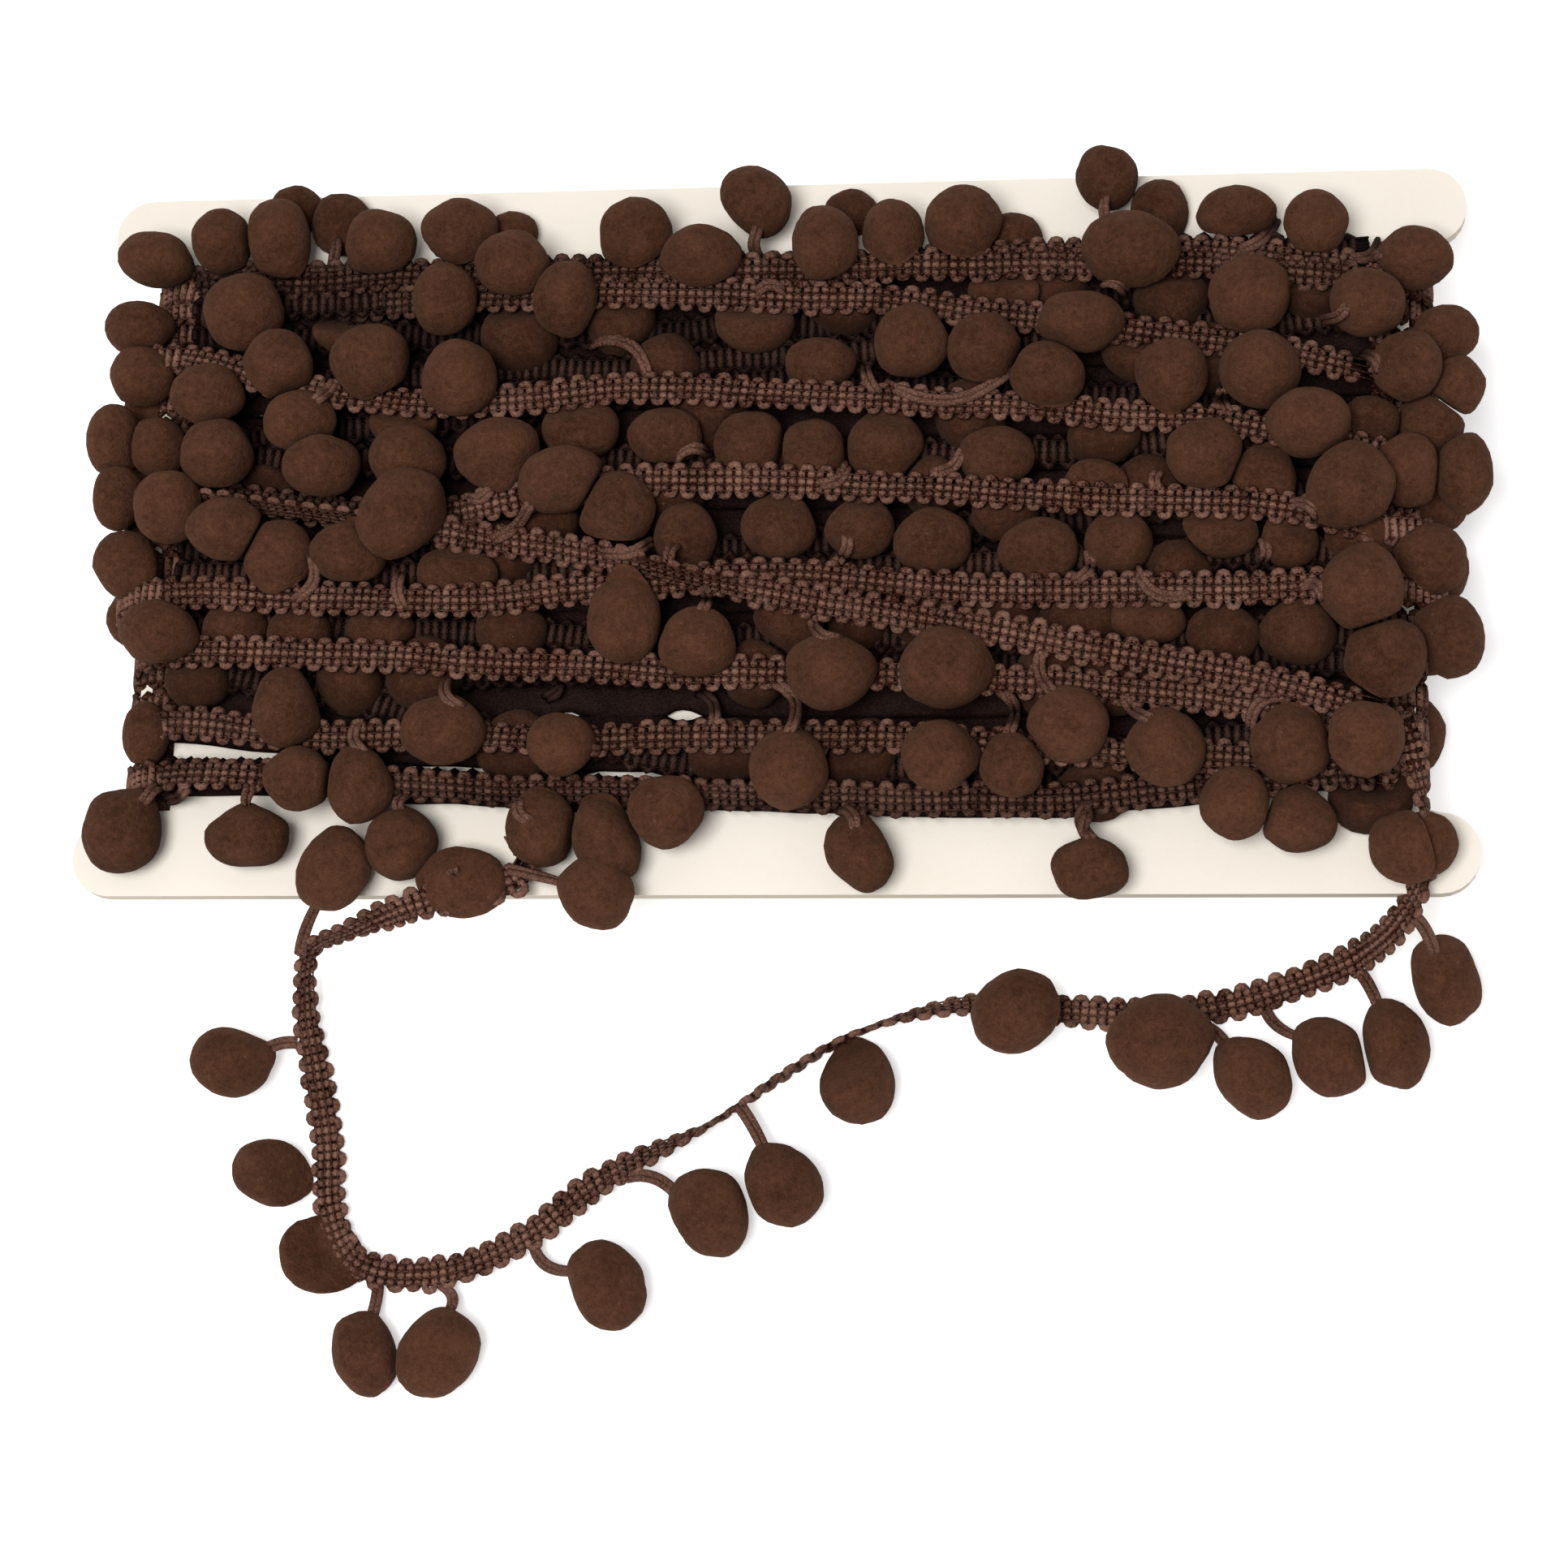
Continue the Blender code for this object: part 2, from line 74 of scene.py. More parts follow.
def add_camera():
    back = Vector((
        math.sin(CAMERA_AZIMUTH) * math.cos(CAMERA_ELEVATION),
        -math.cos(CAMERA_AZIMUTH) * math.cos(CAMERA_ELEVATION),
        math.sin(CAMERA_ELEVATION),
    ))
    right = Vector((0, 0, 1)).cross(back).normalized()
    up = back.cross(right)
    rolled_right = right * math.cos(CAMERA_ROLL) + up * math.sin(CAMERA_ROLL)
    rolled_up = up * math.cos(CAMERA_ROLL) - right * math.sin(CAMERA_ROLL)
    turned = Matrix((rolled_right, rolled_up, back)).transposed().to_4x4()
    bpy.ops.object.camera_add()
    camera = bpy.context.object
    camera.name = "photo_camera"
    camera.matrix_world = Matrix.Translation(CAMERA_TARGET + back * CAMERA_DISTANCE) @ turned
    camera.data.lens = CAMERA_LENS
    camera.data.sensor_width = 36
    camera.data.clip_start = 0.01
    bpy.context.scene.camera = camera
    return camera


camera = add_camera()
print("camera at, mm:", [round(v / MM, 1) for v in camera.location])

# %% [markdown]
# ## Arithmetic for materials
#
# A finish is a small calculation: take a pattern, stretch it, mix two colours by it. Written
# as node links that is long and hard to read. So one class wraps a node's output, and the
# signs + - * on it add the Math nodes. Every other node comes from one method, `node`,
# which takes the node's type, its settings and what goes into its sockets.

# %% Signals and finishes
class Signal:
    """What comes out of a node, ready for ordinary arithmetic."""

    def __init__(self, finish, socket):
        self.finish = finish
        self.socket = socket

    def math(self, operation, *values):
        return self.finish.node("Math", {"operation": operation}, dict(enumerate(values)))

    def __add__(self, other):
        return self.math("ADD", self, other)

    def __radd__(self, other):
        return self.math("ADD", other, self)

    def __sub__(self, other):
        return self.math("SUBTRACT", self, other)

    def __rsub__(self, other):
        return self.math("SUBTRACT", other, self)

    def __mul__(self, other):
        return self.math("MULTIPLY", self, other)

    def __rmul__(self, other):
        return self.math("MULTIPLY", other, self)


class Finish:
    """A material and its wiring. The constants go straight on the shader's own sockets."""

    def __init__(self, name, **constants):
        self.material = bpy.data.materials.new(name)
        self.material.use_nodes = True
        self.tree = self.material.node_tree
        self.shader = self.tree.nodes["Principled BSDF"]
        for socket, value in constants.items():
            self.shader.inputs[socket.replace("_", " ")].default_value = value

    def plug(self, socket, value):
        if isinstance(value, Signal):
            self.tree.links.new(value.socket, socket)
        else:
            socket.default_value = value

    def node(self, kind, settings=None, inputs=None, output=0):
        made = self.tree.nodes.new("ShaderNode" + kind)
        for key, value in (settings or {}).items():
            if key == "stops":
                self.set_stops(made.color_ramp, value)
            else:
                setattr(made, key, value)
        for key, value in (inputs or {}).items():
            self.plug(made.inputs[key], value)
        return Signal(self, made.outputs[output])

    def set_stops(self, ramp, stops):
        while len(ramp.elements) < len(stops):
            ramp.elements.new(0.5)
        for element, (position, level) in zip(ramp.elements, stops):
            element.position = position
            element.color = (level, level, level, 1)

    def mix(self, share, first, second):
        return self.node("Mix", {"data_type": "RGBA"}, {0: share, 6: first, 7: second}, 2)

    def feed(self, **signals):
        for socket, value in signals.items():
            self.plug(self.shader.inputs[socket.replace("_", " ")], value)
        return self.material


print("a Signal adds, subtracts and multiplies")

# %% [markdown]
# ## Felt and yarn
#
# The trim is one dye lot of chocolate brown, yet it shows three tones. The pompoms are
# matt felt: short fibres pressed in all directions, so the colour is even, slightly mottled,
# and flecked with a few paler fibre ends. Their rim looks a touch lighter because loose
# fibres stand up there and catch the light. That is what sheen is for. The braid is a
# smoother, tighter yarn, so it is greyer, and a painted highlight makes it a little lighter
# where it rounds over. Deep in the winding the colour is painted almost black, as painted shade.
#
# Each vertex carries a `tone`, from 0 to 1, that differs at random from ball to ball and from
# turn to turn, so no two neighbours match exactly; lower tones also paint shade on what lies
# under or between others, and on the braid the tone paints highlights and shade. It also
# carries a `depth`, painted shade that is 1 where light gets in and near 0 at
# the bottom of the winding.

# %% Felt
FELT_DEEP = (0.039, 0.0150, 0.0082, 1)
FELT_WARM = (0.105, 0.0425, 0.0240, 1)
FELT_FLECK = (0.190, 0.105, 0.072, 1)
# Painted shade: the colour that everything is mixed towards low in the winding.
PAINTED_GAP_SHADE = (0.0055, 0.0026, 0.0026, 1)


def painted_depth_shade(finish, colour):
    """The colour, painted towards almost black deep in the winding: painted shade."""
    depth = finish.node("Attribute", {"attribute_name": "depth"}, output="Fac")
    return finish.mix(depth, PAINTED_GAP_SHADE, colour)


def felt_finish():
    finish = Finish("pompom_felt", Sheen_Weight=0.15, Sheen_Roughness=0.55, Specular_IOR_Level=0.04,
                    Sheen_Tint=(0.40, 0.23, 0.15, 1))
    place = finish.node("TexCoord", output="Object")
    tone = finish.node("Attribute", {"attribute_name": "tone"}, output="Fac")
    cloud = finish.node("TexNoise", None, {"Vector": place, "Scale": 260.0, "Detail": 1.0})
    mottle = finish.node("TexNoise", None, {
        "Vector": place, "Scale": 1150.0, "Detail": 3.0, "Roughness": 0.65})
    grain = finish.node("TexNoise", None, {
        "Vector": place, "Scale": 3300.0, "Detail": 2.0, "Roughness": 0.7})
    fleck_noise = finish.node("TexNoise", None, {
        "Vector": place, "Scale": 1500.0, "Detail": 1.0, "Distortion": 1.2})
    fleck = finish.node("ValToRGB", {"stops": ((0.70, 0.0), (0.80, 1.0))}, {"Fac": fleck_noise})
    share = (cloud - 0.5) * 0.8 + (mottle - 0.5) * 1.5 + (grain - 0.5) * 1.1 + tone
    body = finish.mix(share, FELT_DEEP, FELT_WARM)
    colour = painted_depth_shade(finish, finish.mix(fleck * 0.45, body, FELT_FLECK))
    relief = mottle * 1.0 + grain * 0.45 + fleck * 0.2
    normal = finish.node("Bump", None, {"Strength": 0.7, "Distance": 0.0005, "Height": relief})
    return finish.feed(Base_Color=colour, Roughness=(mottle * 0.1 + 0.88), Normal=normal)


FELT = felt_finish()
print("felt:", len(FELT.node_tree.nodes), "nodes")

# %% Braid yarn
YARN_DEEP = (0.022, 0.0044, 0.0013, 1)
YARN_PALE = (0.262, 0.135, 0.098, 1)


def yarn_finish():
    finish = Finish("gimp_yarn", Specular_IOR_Level=0.06)
    place = finish.node("TexCoord", output="Object")
    tone = finish.node("Attribute", {"attribute_name": "tone"}, output="Fac")
    patch = finish.node("TexNoise", None, {"Vector": place, "Scale": 160.0, "Detail": 2.0})
    fibre = finish.node("TexNoise", None, {
        "Vector": place, "Scale": 3200.0, "Detail": 2.0, "Roughness": 0.65})
    share = (patch - 0.5) * 0.6 + (fibre - 0.5) * 1.6 + tone
    colour = painted_depth_shade(finish, finish.mix(share, YARN_DEEP, YARN_PALE))
    normal = finish.node("Bump", None, {"Strength": 0.6, "Distance": 0.00025, "Height": fibre})
    return finish.feed(Base_Color=colour, Roughness=(fibre * 0.15 + 0.68), Normal=normal)


YARN = yarn_finish()
print("yarn:", len(YARN.node_tree.nodes), "nodes")

# %% [markdown]
# ## The card
#
# The card is a cream board with a notch at each end, so that the trim can't slide off. Its
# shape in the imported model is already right: it only needs the look of paper board, with
# faint cloudy fibres on the faces and a greyer, rougher cut edge. The finish tells face from
# edge by the surface's direction, so it needs no map.

# %% Board
BOARD_FACE = (0.92, 0.85, 0.75, 1)
BOARD_CLOUD = (0.85, 0.775, 0.67, 1)
BOARD_EDGE = (0.58, 0.51, 0.42, 1)


def board_finish():
    finish = Finish("cream_board", Specular_IOR_Level=0.25)
    place = finish.node("TexCoord", output="Object")
    normal_out = finish.node("NewGeometry", output="Normal")
    facing = finish.node("SeparateXYZ", None, {"Vector": normal_out}, 2)
    cloud = finish.node("TexNoise", None, {"Vector": place, "Scale": 38.0, "Detail": 5.0})
    fibre = finish.node("TexNoise", None, {
        "Vector": place, "Scale": 1100.0, "Detail": 3.0, "Distortion": 0.8})
    shade = (cloud - 0.42) * 1.8
    face = finish.mix(shade + (fibre - 0.5) * 0.35, BOARD_FACE, BOARD_CLOUD)
    edge = 1 - facing * facing
    colour = finish.mix(edge, face, BOARD_EDGE)
    normal = finish.node("Bump", None, {"Strength": 0.25, "Distance": 0.0001, "Height": fibre})
    return finish.feed(Base_Color=colour, Roughness=(fibre * 0.2 + 0.6), Normal=normal)


BOARD = board_finish()
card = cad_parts["card"]
card.data.materials.clear()
card.data.materials.append(BOARD)

# %% [markdown]
# ## Collecting geometry
#
# One turn of trim holds hundreds of loops. Adding each as an object would be slow, so the
# pieces are gathered in a `Heap`, which keeps corners, faces and tones, and becomes one mesh
# at the end. `sweep` draws a yarn: it places a small ring of corners at each point of a
# line, square to the line, and joins ring to ring. Both ends are closed.

# %% Heap and sweep
TABLE_CLEARANCE = 0.02 * MM
BELOW_ALL = (-2 * MM, -1 * MM)
LEAST_PAINTED_LIGHT = 0.04


class Heap:
    """Corners, faces and tones that become one piece."""

    def __init__(self):
        self.corners, self.tones, self.faces, self.count = [], [], [], 0

    def add(self, corners, faces, tone):
        corners[:, 2] = np.maximum(corners[:, 2], TABLE_CLEARANCE)
        self.corners.append(corners)
        self.faces += [tuple(int(i) + self.count for i in face) for face in faces]
        self.tones.append(np.broadcast_to(np.asarray(tone, dtype=float), (len(corners),)))
        self.count += len(corners)

    def piece(self, name, material, deep=BELOW_ALL):
        """Makes the mesh. Between the two heights in deep the painted shade fades from dark to light.
        """
        mesh = bpy.data.meshes.new(name)
        corners = np.concatenate(self.corners)
        mesh.from_pydata(corners.tolist(), [], self.faces)
        low, high = deep
        # Painted shade: the lower a corner lies between the two heights, the darker its colour.
        depth = np.clip((corners[:, 2] - low) / (high - low), LEAST_PAINTED_LIGHT, 1)
        for attribute, values in (("tone", np.concatenate(self.tones)), ("depth", depth)):
            mesh.attributes.new(attribute, "FLOAT", "POINT").data.foreach_set("value", values)
        mesh.materials.append(material)
        mesh.polygons.foreach_set("use_smooth", [True] * len(mesh.polygons))
        made = bpy.data.objects.new(name, mesh)
        bpy.context.scene.collection.objects.link(made)
        triangles = sum(len(face) - 2 for face in self.faces)
        print(f"{name}: {triangles} triangles")
        return made


def unit(rows):
    return rows / np.maximum(np.linalg.norm(rows, axis=-1, keepdims=True), 1e-12)


def sweep(line, up, wide, high, sides):
    """A closed yarn along a line: its corners and faces. Up is the direction it rises in."""
    run = unit(np.gradient(line, axis=0))
    across = unit(np.cross(up, run))
    rise = np.cross(run, across)
    angle = np.arange(sides) * 2 * math.pi / sides
    wide, high = np.asarray(wide).reshape(-1, 1, 1), np.asarray(high).reshape(-1, 1, 1)
    ring = (across[:, None, :] * np.cos(angle)[None, :, None] * wide
            + rise[:, None, :] * np.sin(angle)[None, :, None] * high)
    corners = (line[:, None, :] + ring).reshape(-1, 3)
    first = np.arange(len(line) - 1)[:, None] * sides
    here, there = np.arange(sides)[None, :], (np.arange(sides)[None, :] + 1) % sides
    faces = np.stack([first + here, first + there, first + sides + there, first + sides + here], -1)
    faces = [tuple(face) for face in faces.reshape(-1, 4).tolist()]
    last = (len(line) - 1) * sides
    faces.append(tuple(range(sides - 1, -1, -1)))
    faces.append(tuple(range(last, last + sides)))
    return corners, faces


def rough(x, seed):
    """A slow unevenness along a run, about -1 to 1."""
    return noise.noise(Vector((float(x), seed * 7.31, 3.7))) * 1.6


test_line = np.linspace((0, 0, 0), (1, 0, 0), 5)
test_corners, test_faces = sweep(test_line, np.tile((0.0, 0, 1), (5, 1)), 0.1, 0.1, 6)
print("a short yarn has", len(test_corners), "corners and", len(test_faces), "faces")

# %% [markdown]
# ## The lie of a turn
#
# A braid is a flat ribbon, so a line isn't enough to place it: at each point it also has a
# face, which looks away from what it lies on, and a side, where the fringe hangs. A `Lie`
# holds these three along a run and answers for any distance along it. Everything on the
# braid, loops, lengthwise threads and stems, is placed by distance along it, across it and
# above it.

# %% Lie
class Lie:
    """A ribbon's places, sides and faces along its run."""

    def __init__(self, places, faces, rolls=0.0, spacing=0.5 * MM):
        places, faces = np.asarray(places, dtype=float), np.asarray(faces, dtype=float)
        steps = np.linalg.norm(np.diff(places, axis=0), axis=1)
        distance = np.concatenate([[0], np.cumsum(steps)])
        self.length = distance[-1]
        self.run = np.linspace(0, self.length, max(int(self.length / spacing), 4))
        self.place = self.along(distance, places, self.run)
        rolls = np.interp(self.run, distance, np.broadcast_to(rolls, (len(places),)))
        forward = unit(np.gradient(self.place, axis=0))
        side = unit(np.cross(self.along(distance, faces, self.run), forward))
        face = np.cross(forward, side)
        turn, lift = np.cos(rolls)[:, None], np.sin(rolls)[:, None]
        self.side, self.face = side * turn + face * lift, face * turn - side * lift

    @staticmethod
    def along(distance, rows, wanted):
        return np.stack([np.interp(wanted, distance, rows[:, i]) for i in range(3)], axis=1)

    def at(self, s, v=0.0, w=0.0):
        """Points at distance s along, v across towards the fringe, and w above."""
        s = np.atleast_1d(s)
        side = self.along(self.run, self.side, s)
        face = self.along(self.run, self.face, s)
        v, w = np.broadcast_to(v, s.shape)[:, None], np.broadcast_to(w, s.shape)[:, None]
        return self.along(self.run, self.place, s) + side * v + face * w

    def faces_at(self, s):
        return unit(self.along(self.run, self.face, np.atleast_1d(s)))

    def nearest(self, x, y):
        gap = (self.place[:, 0] - x) ** 2 + (self.place[:, 1] - y) ** 2
        return self.run[int(np.argmin(gap))]


print("a Lie answers with points along, across and above a braid")

# %% [markdown]
# ## One looped braid
#
# Gimp braid is made by one thick yarn that runs back and forth, and turns back at each edge
# in a round loop. Four thin threads run lengthwise and tie it down, so each crossing swells
# between them: that makes the grid of small bumps. The yarn follows a sine across the braid.
# A second, twice as fast sine along the braid pulls its legs upright and its loops round.
# `gimp` draws that for any length. The yarn is sampled where it swells and where it is tied,
# which a list of angles for a quarter of a repeat gives. Turns that hardly show take fewer.
# The bumps get a painted highlight, the ends of the loops less of one, and where a thread ties
# the yarn down painted shade makes it dark. The threads are painted darker as well, and a flat
# filler in the darkest tone, painted shade, closes the braid from behind.

# %% Gimp
REPEAT = 2.6 * MM
BRAID_HALF_WIDTH = 2.80 * MM
YARN_WIDE = 0.62 * MM
YARN_HIGH = 0.52 * MM
THREAD_RADIUS = 0.16 * MM
THREAD_PITCH = 0.98 * MM
THREAD_PLACES = (-1.5, -0.5, 0.5, 1.5)
FILLER_HALF_WIDTH = 1.7 * MM
FILLER_HALF_HEIGHT = 0.16 * MM
LOOP_ROUNDNESS = 0.118
SWING_POWER = 0.62
FINE_QUARTER = (0, 6.4, 20.0, 41.0, 63.0, 90)
PLAIN_QUARTER = (0, 20.0, 41.0, 90)


def crossing_angles(quarter, repeats):
    """Angles of one repeat, from those of its first quarter, and again for every repeat."""
    half = list(quarter) + [180 - angle for angle in quarter[-2:0:-1]]
    whole = np.radians(half + [180 + angle for angle in half])
    return (np.arange(max(int(repeats), 1))[:, None] * 2 * math.pi + whole[None]).ravel()


def gimp(heap, lie, tone, quarter=FINE_QUARTER, sides=5, seed=0):
    """Draws looped braid along a lie."""
    repeats = lie.length / REPEAT
    theta = crossing_angles(quarter, repeats)
    wobble = np.array([rough(t / 9.0, seed) for t in theta])
    uneven = np.array([rough(t / 2.6, seed + 0.5) for t in theta])
    s = REPEAT * (theta / (2 * math.pi) - LOOP_ROUNDNESS * np.sin(2 * theta))
    s = np.clip(s + 0.12 * MM * wobble + 0.07 * MM * uneven, 0, lie.length)
    swing = np.sign(np.sin(theta)) * np.abs(np.sin(theta)) ** SWING_POWER
    v = swing * (BRAID_HALF_WIDTH - YARN_WIDE)
    tied = (0.5 - 0.5 * np.cos(2 * math.pi * v / THREAD_PITCH)) * (np.abs(v) < 2.0 * THREAD_PITCH)
    line = lie.at(s, v + swing * MM * (0.14 * wobble + 0.20 * uneven), YARN_HIGH * 0.3)
    line[:, 2] = np.maximum(line[:, 2], YARN_HIGH)
    wide = YARN_WIDE * (1 - 0.14 * np.abs(swing) ** 4) * (1 - 0.12 * tied)
    corners, faces = sweep(line, lie.faces_at(s), wide, YARN_HIGH * (1 - 0.46 * tied), sides)
    speck = np.array([rough(t * 0.8, seed + 0.7) for t in theta])
    # Painted highlight on the bumps, painted shade at the loop ends and where the threads tie the yarn.
    shade = 0.40 - 0.38 * np.abs(swing) ** 5 - 0.90 * tied
    tones = np.clip(tone + shade + 0.14 * uneven + 0.22 * speck, 0, 1)
    heap.add(corners, faces, np.repeat(tones, sides))
    s = np.linspace(0, lie.length, int(repeats * 2) + 1)
    for i, place in enumerate(THREAD_PLACES):
        v = place * THREAD_PITCH + 0.08 * MM * np.array([rough(x / (4 * MM), seed + i) for x in s])
        corners, faces = sweep(lie.at(s, v, YARN_HIGH * 0.8), lie.faces_at(s), THREAD_RADIUS,
                               THREAD_RADIUS, 3)
        # The threads in a lower tone: painted shade in the grooves.
        heap.add(corners, faces, tone * 0.45)
    # The filler in the darkest tone: painted shade behind the loops.
    line = lie.at(s[::2], 0.0, 0.0)
    corners, faces = sweep(line, lie.faces_at(s[::2]), FILLER_HALF_WIDTH, FILLER_HALF_HEIGHT, 4)
    heap.add(corners, faces, 0.0)


print("loops per metre of braid:", round(2 / REPEAT))

# %% [markdown]
# ## The table of turns
#
# The turns that show run from the card's far edge to its near edge, and the last one crosses
# the others on a slant. For each turn the table gives where the braid lies across the card
# at nine stations, and its height. All places are in millimetres from the middle of the
# card, as measured in the photograph.

# %% Turns
STATIONS = (-88, -66, -44, -22, 0, 22, 44, 66, 88)
Turn = namedtuple("Turn", "name heights z")
TURNS = (
    Turn("first", (39.6, 39.6, 39.6, 39.6, 39.4, 39.2, 39, 38.6, 36), 22.6),
    Turn("second", (37.5, 38, 38, 37.6, 37.4, 37.2, 37, 36.4, 34), 23.4),
    Turn("third", (35.5, 35, 34.6, 33.9, 33, 31.2, 28.2, 24.5, 20), 23.8),
    Turn("fourth", (26, 19.5, 17, 18.8, 17.6, 16.4, 14.3, 11.8, 8), 25.2),
    Turn("fifth", (5, 2.8, 1.4, 4.6, 4.2, 2.8, 1.4, 0.2, -3.5), 25.4),
    Turn("sixth", (-10.8, -12, -13, -11.2, -9.6, -11.2, -12.2, -12.4, -12.2), 25.4),
    Turn("seventh", (-19, -20, -21.3, -22.4, -23.6, -24, -25.6, -28.4, -30.4), 24.6),
    Turn("eighth", (-29.0, -31.6, -32.4, -32.5, -32.5, -33, -34.6, -35.7, -36), 23.2),
    Turn("ninth", (-37.4, -37.7, -38.9, -39.6, -40.1, -40.9, -41, -38.9, -37.0), 21.6),
    Turn("outermost", (4, 1, -2.9, -7, -12.6, -16.3, -20.6, -24.7, -30.4), 27.4),
)
print(len(TURNS), "turns show")

# %% [markdown]
# ## Winding the turns
#
# A turn crosses the card on top, bends round its right end, comes back underneath a little
# further on, and bends round the left end into the next turn. A hand winding is never even,
# so the braid wanders by a third of a millimetre and rolls by some fifteen degrees. Two tables
# add what the photograph shows: how far a turn is twisted along its way, and how far it rises
# or sinks. The slanting turn stands almost on edge at its left end and again near its middle.
# Up to 18 mm over the table a turn is painted dark as painted shade, and from 25 mm on it has its full
# colour.

# %% Lies of the turns
END_X = 86.0
END_MIDDLE_Z = 13.8
END_DROP_FROM = 76
UNDER_Z = 4.4
UNDER_STEPS = 60
NEAR_EDGE = {1: -28, -1: -17}
NEAR_REACH = 6.2
TWISTS = {
    "outermost": ((-88, 74), (-54, 74), (-44, 12), (-30, 25), (-14, 62), (-6, 60), (4, 15), (88, 8)),
    "ninth": ((-88, 0), (-62, 4), (-46, 34), (20, 34), (40, 10), (88, 0)),
    "first": ((-88, 30), (14, 38), (34, 8), (88, 0)),
}
RISES = {
    "first": ((-88, -2.6), (22, -3.0), (34, 0), (88, 0)),
    "second": ((-88, -3.2), (-66, -3.0), (-48, -1.4), (0, 0), (88, 0)),
    "third": ((-88, -3.6), (-62, -4.2), (-46, -1.6), (-20, 0), (88, 0)),
    "fifth": ((-88, -4.5), (-50, -4.5), (-40, 0), (88, 0)),
    "ninth": ((-88, 2.2), (-62, 1.4), (-46, 0), (88, 0)),
    "outermost": ((-88, -2.4), (-40, -1.4), (-14, 0.4), (88, 0)),
}


def smooth_through(x, stations, heights):
    """A smooth curve through the stations."""
    x = min(max(x, stations[0]), stations[-1])
    i = max(k for k in range(len(stations) - 1) if x >= stations[k])
    before, after = max(i - 1, 0), min(i + 2, len(stations) - 1)
    t = (x - stations[i]) / (stations[i + 1] - stations[i])
    a, b, c, d = heights[before], heights[i], heights[i + 1], heights[after]
    bend = 2 * a - 5 * b + 4 * c - d
    return 0.5 * (2 * b + (c - a) * t + bend * t**2 + (3 * b - a - 3 * c + d) * t**3)


def braid_y(turn, x):
    return smooth_through(x, STATIONS, turn.heights)


def front_lie(turn, row):
    """The part of a turn that shows on top of the card."""
    xs = np.arange(-END_X, END_X + 0.5, 1.0)
    stations, twists = zip(*TWISTS.get(turn.name, ((-88, 0), (88, 0))))
    risen_at, rises = zip(*RISES.get(turn.name, ((-88, 0), (88, 0))))
    places, rolls = [], []
    for x in xs:
        y = braid_y(turn, x) + 0.35 * rough(x / 14, row)
        end = max(abs(x) - END_DROP_FROM, 0) / 10
        z = turn.z + np.interp(x, risen_at, rises) + 0.45 * rough(x / 17, row + 20) - 1.6 * end**2
        places.append((x * MM, y * MM, z * MM))
        rolls.append(math.radians(np.interp(x, stations, twists) + 17 * rough(x / 22, row + 40)))
    return Lie(places, np.tile((0.0, 0, 1), (len(xs), 1)), rolls)


def end_points(lie, row, side):
    """A half circle round one end of the card, from the top turn's end to underneath.

    At the card's near edge the bends are drawn in.
    """
    x, y_top, top_z = (lie.place[-1] if side > 0 else lie.place[0]) / MM
    radius, middle_z = (top_z - UNDER_Z) / 2, (top_z + UNDER_Z) / 2
    reach = min(radius, NEAR_REACH) if y_top < NEAR_EDGE[side] else radius
    places, faces = [], []
    for angle in np.radians(np.arange(90, -91, -9)):
        out = np.array((side * math.cos(angle), 0, math.sin(angle)))
        y = y_top + 0.8 * (rough(angle, row + 60) - rough(math.pi / 2, row + 60))
        places.append((np.array((x, y, middle_z)) + out * (reach, 1, radius)) * MM)
        faces.append(out)
    return places, faces


def under_points(turn, following):
    """The way back underneath."""
    y_from, y_to = braid_y(turn, END_X), braid_y(following, -END_X)
    xs = np.linspace(END_X, -END_X, UNDER_STEPS)
    ys = np.linspace(y_from, y_to, UNDER_STEPS) + 1.2 * np.sin(xs / 23)
    places = np.stack([xs, ys, np.full(UNDER_STEPS, UNDER_Z)], 1) * MM
    return places, np.tile((0.0, 0, -1), (UNDER_STEPS, 1))


front_lies = {turn.name: front_lie(turn, row) for row, turn in enumerate(TURNS)}
print("braid that shows on top, m:", round(sum(lie.length for lie in front_lies.values()), 2))

# %% Braid on top
# Heights between which the painted shade of the top pieces fades out.
PAINTED_SHADE_HEIGHTS = (18.0 * MM, 24.8 * MM)


def tone_of(row):
    """A turn's own tone."""
    return 0.36 + 0.14 * rough(row * 1.7, 5)


top_braid = Heap()
for row, turn in enumerate(TURNS):
    gimp(top_braid, front_lies[turn.name], tone_of(row), FINE_QUARTER, 5, row)
braid_top = top_braid.piece("braid_top", YARN, PAINTED_SHADE_HEIGHTS)

# %% Braid round the ends and underneath
hidden_braid = Heap()
for row, (turn, following) in enumerate(zip(TURNS, TURNS[1:])):
    for side in (1, -1):
        places, faces = end_points(front_lies[(turn if side > 0 else following).name], row, side)
        gimp(hidden_braid, Lie(places, faces), tone_of(row), PLAIN_QUARTER, 4, row)
    way_back = Lie(*under_points(turn, following))
    gimp(hidden_braid, way_back, tone_of(row), PLAIN_QUARTER, 4, row)
braid_under = hidden_braid.piece("braid_under", YARN)

# %% [markdown]
# ## The inner turns
#
# Between the outer turns the eye falls on older ones, darker because little light gets in; that
# darkness is painted into their colour as painted shade.
# A second, coarser layer of braid runs there at other angles, and under it the first layer
# lies close on the card. The card glints through where two turns of that layer part. So
# little of the first layer shows that a plain strip will do, except where it bends round
# the card's ends. There it gets its loops, over a strip that closes what is between them.

# %% Inner braid
# Heights between which the painted shade of the inner braid fades out.
INSIDE_PAINTED_SHADE_HEIGHTS = (19.0 * MM, 26.5 * MM)
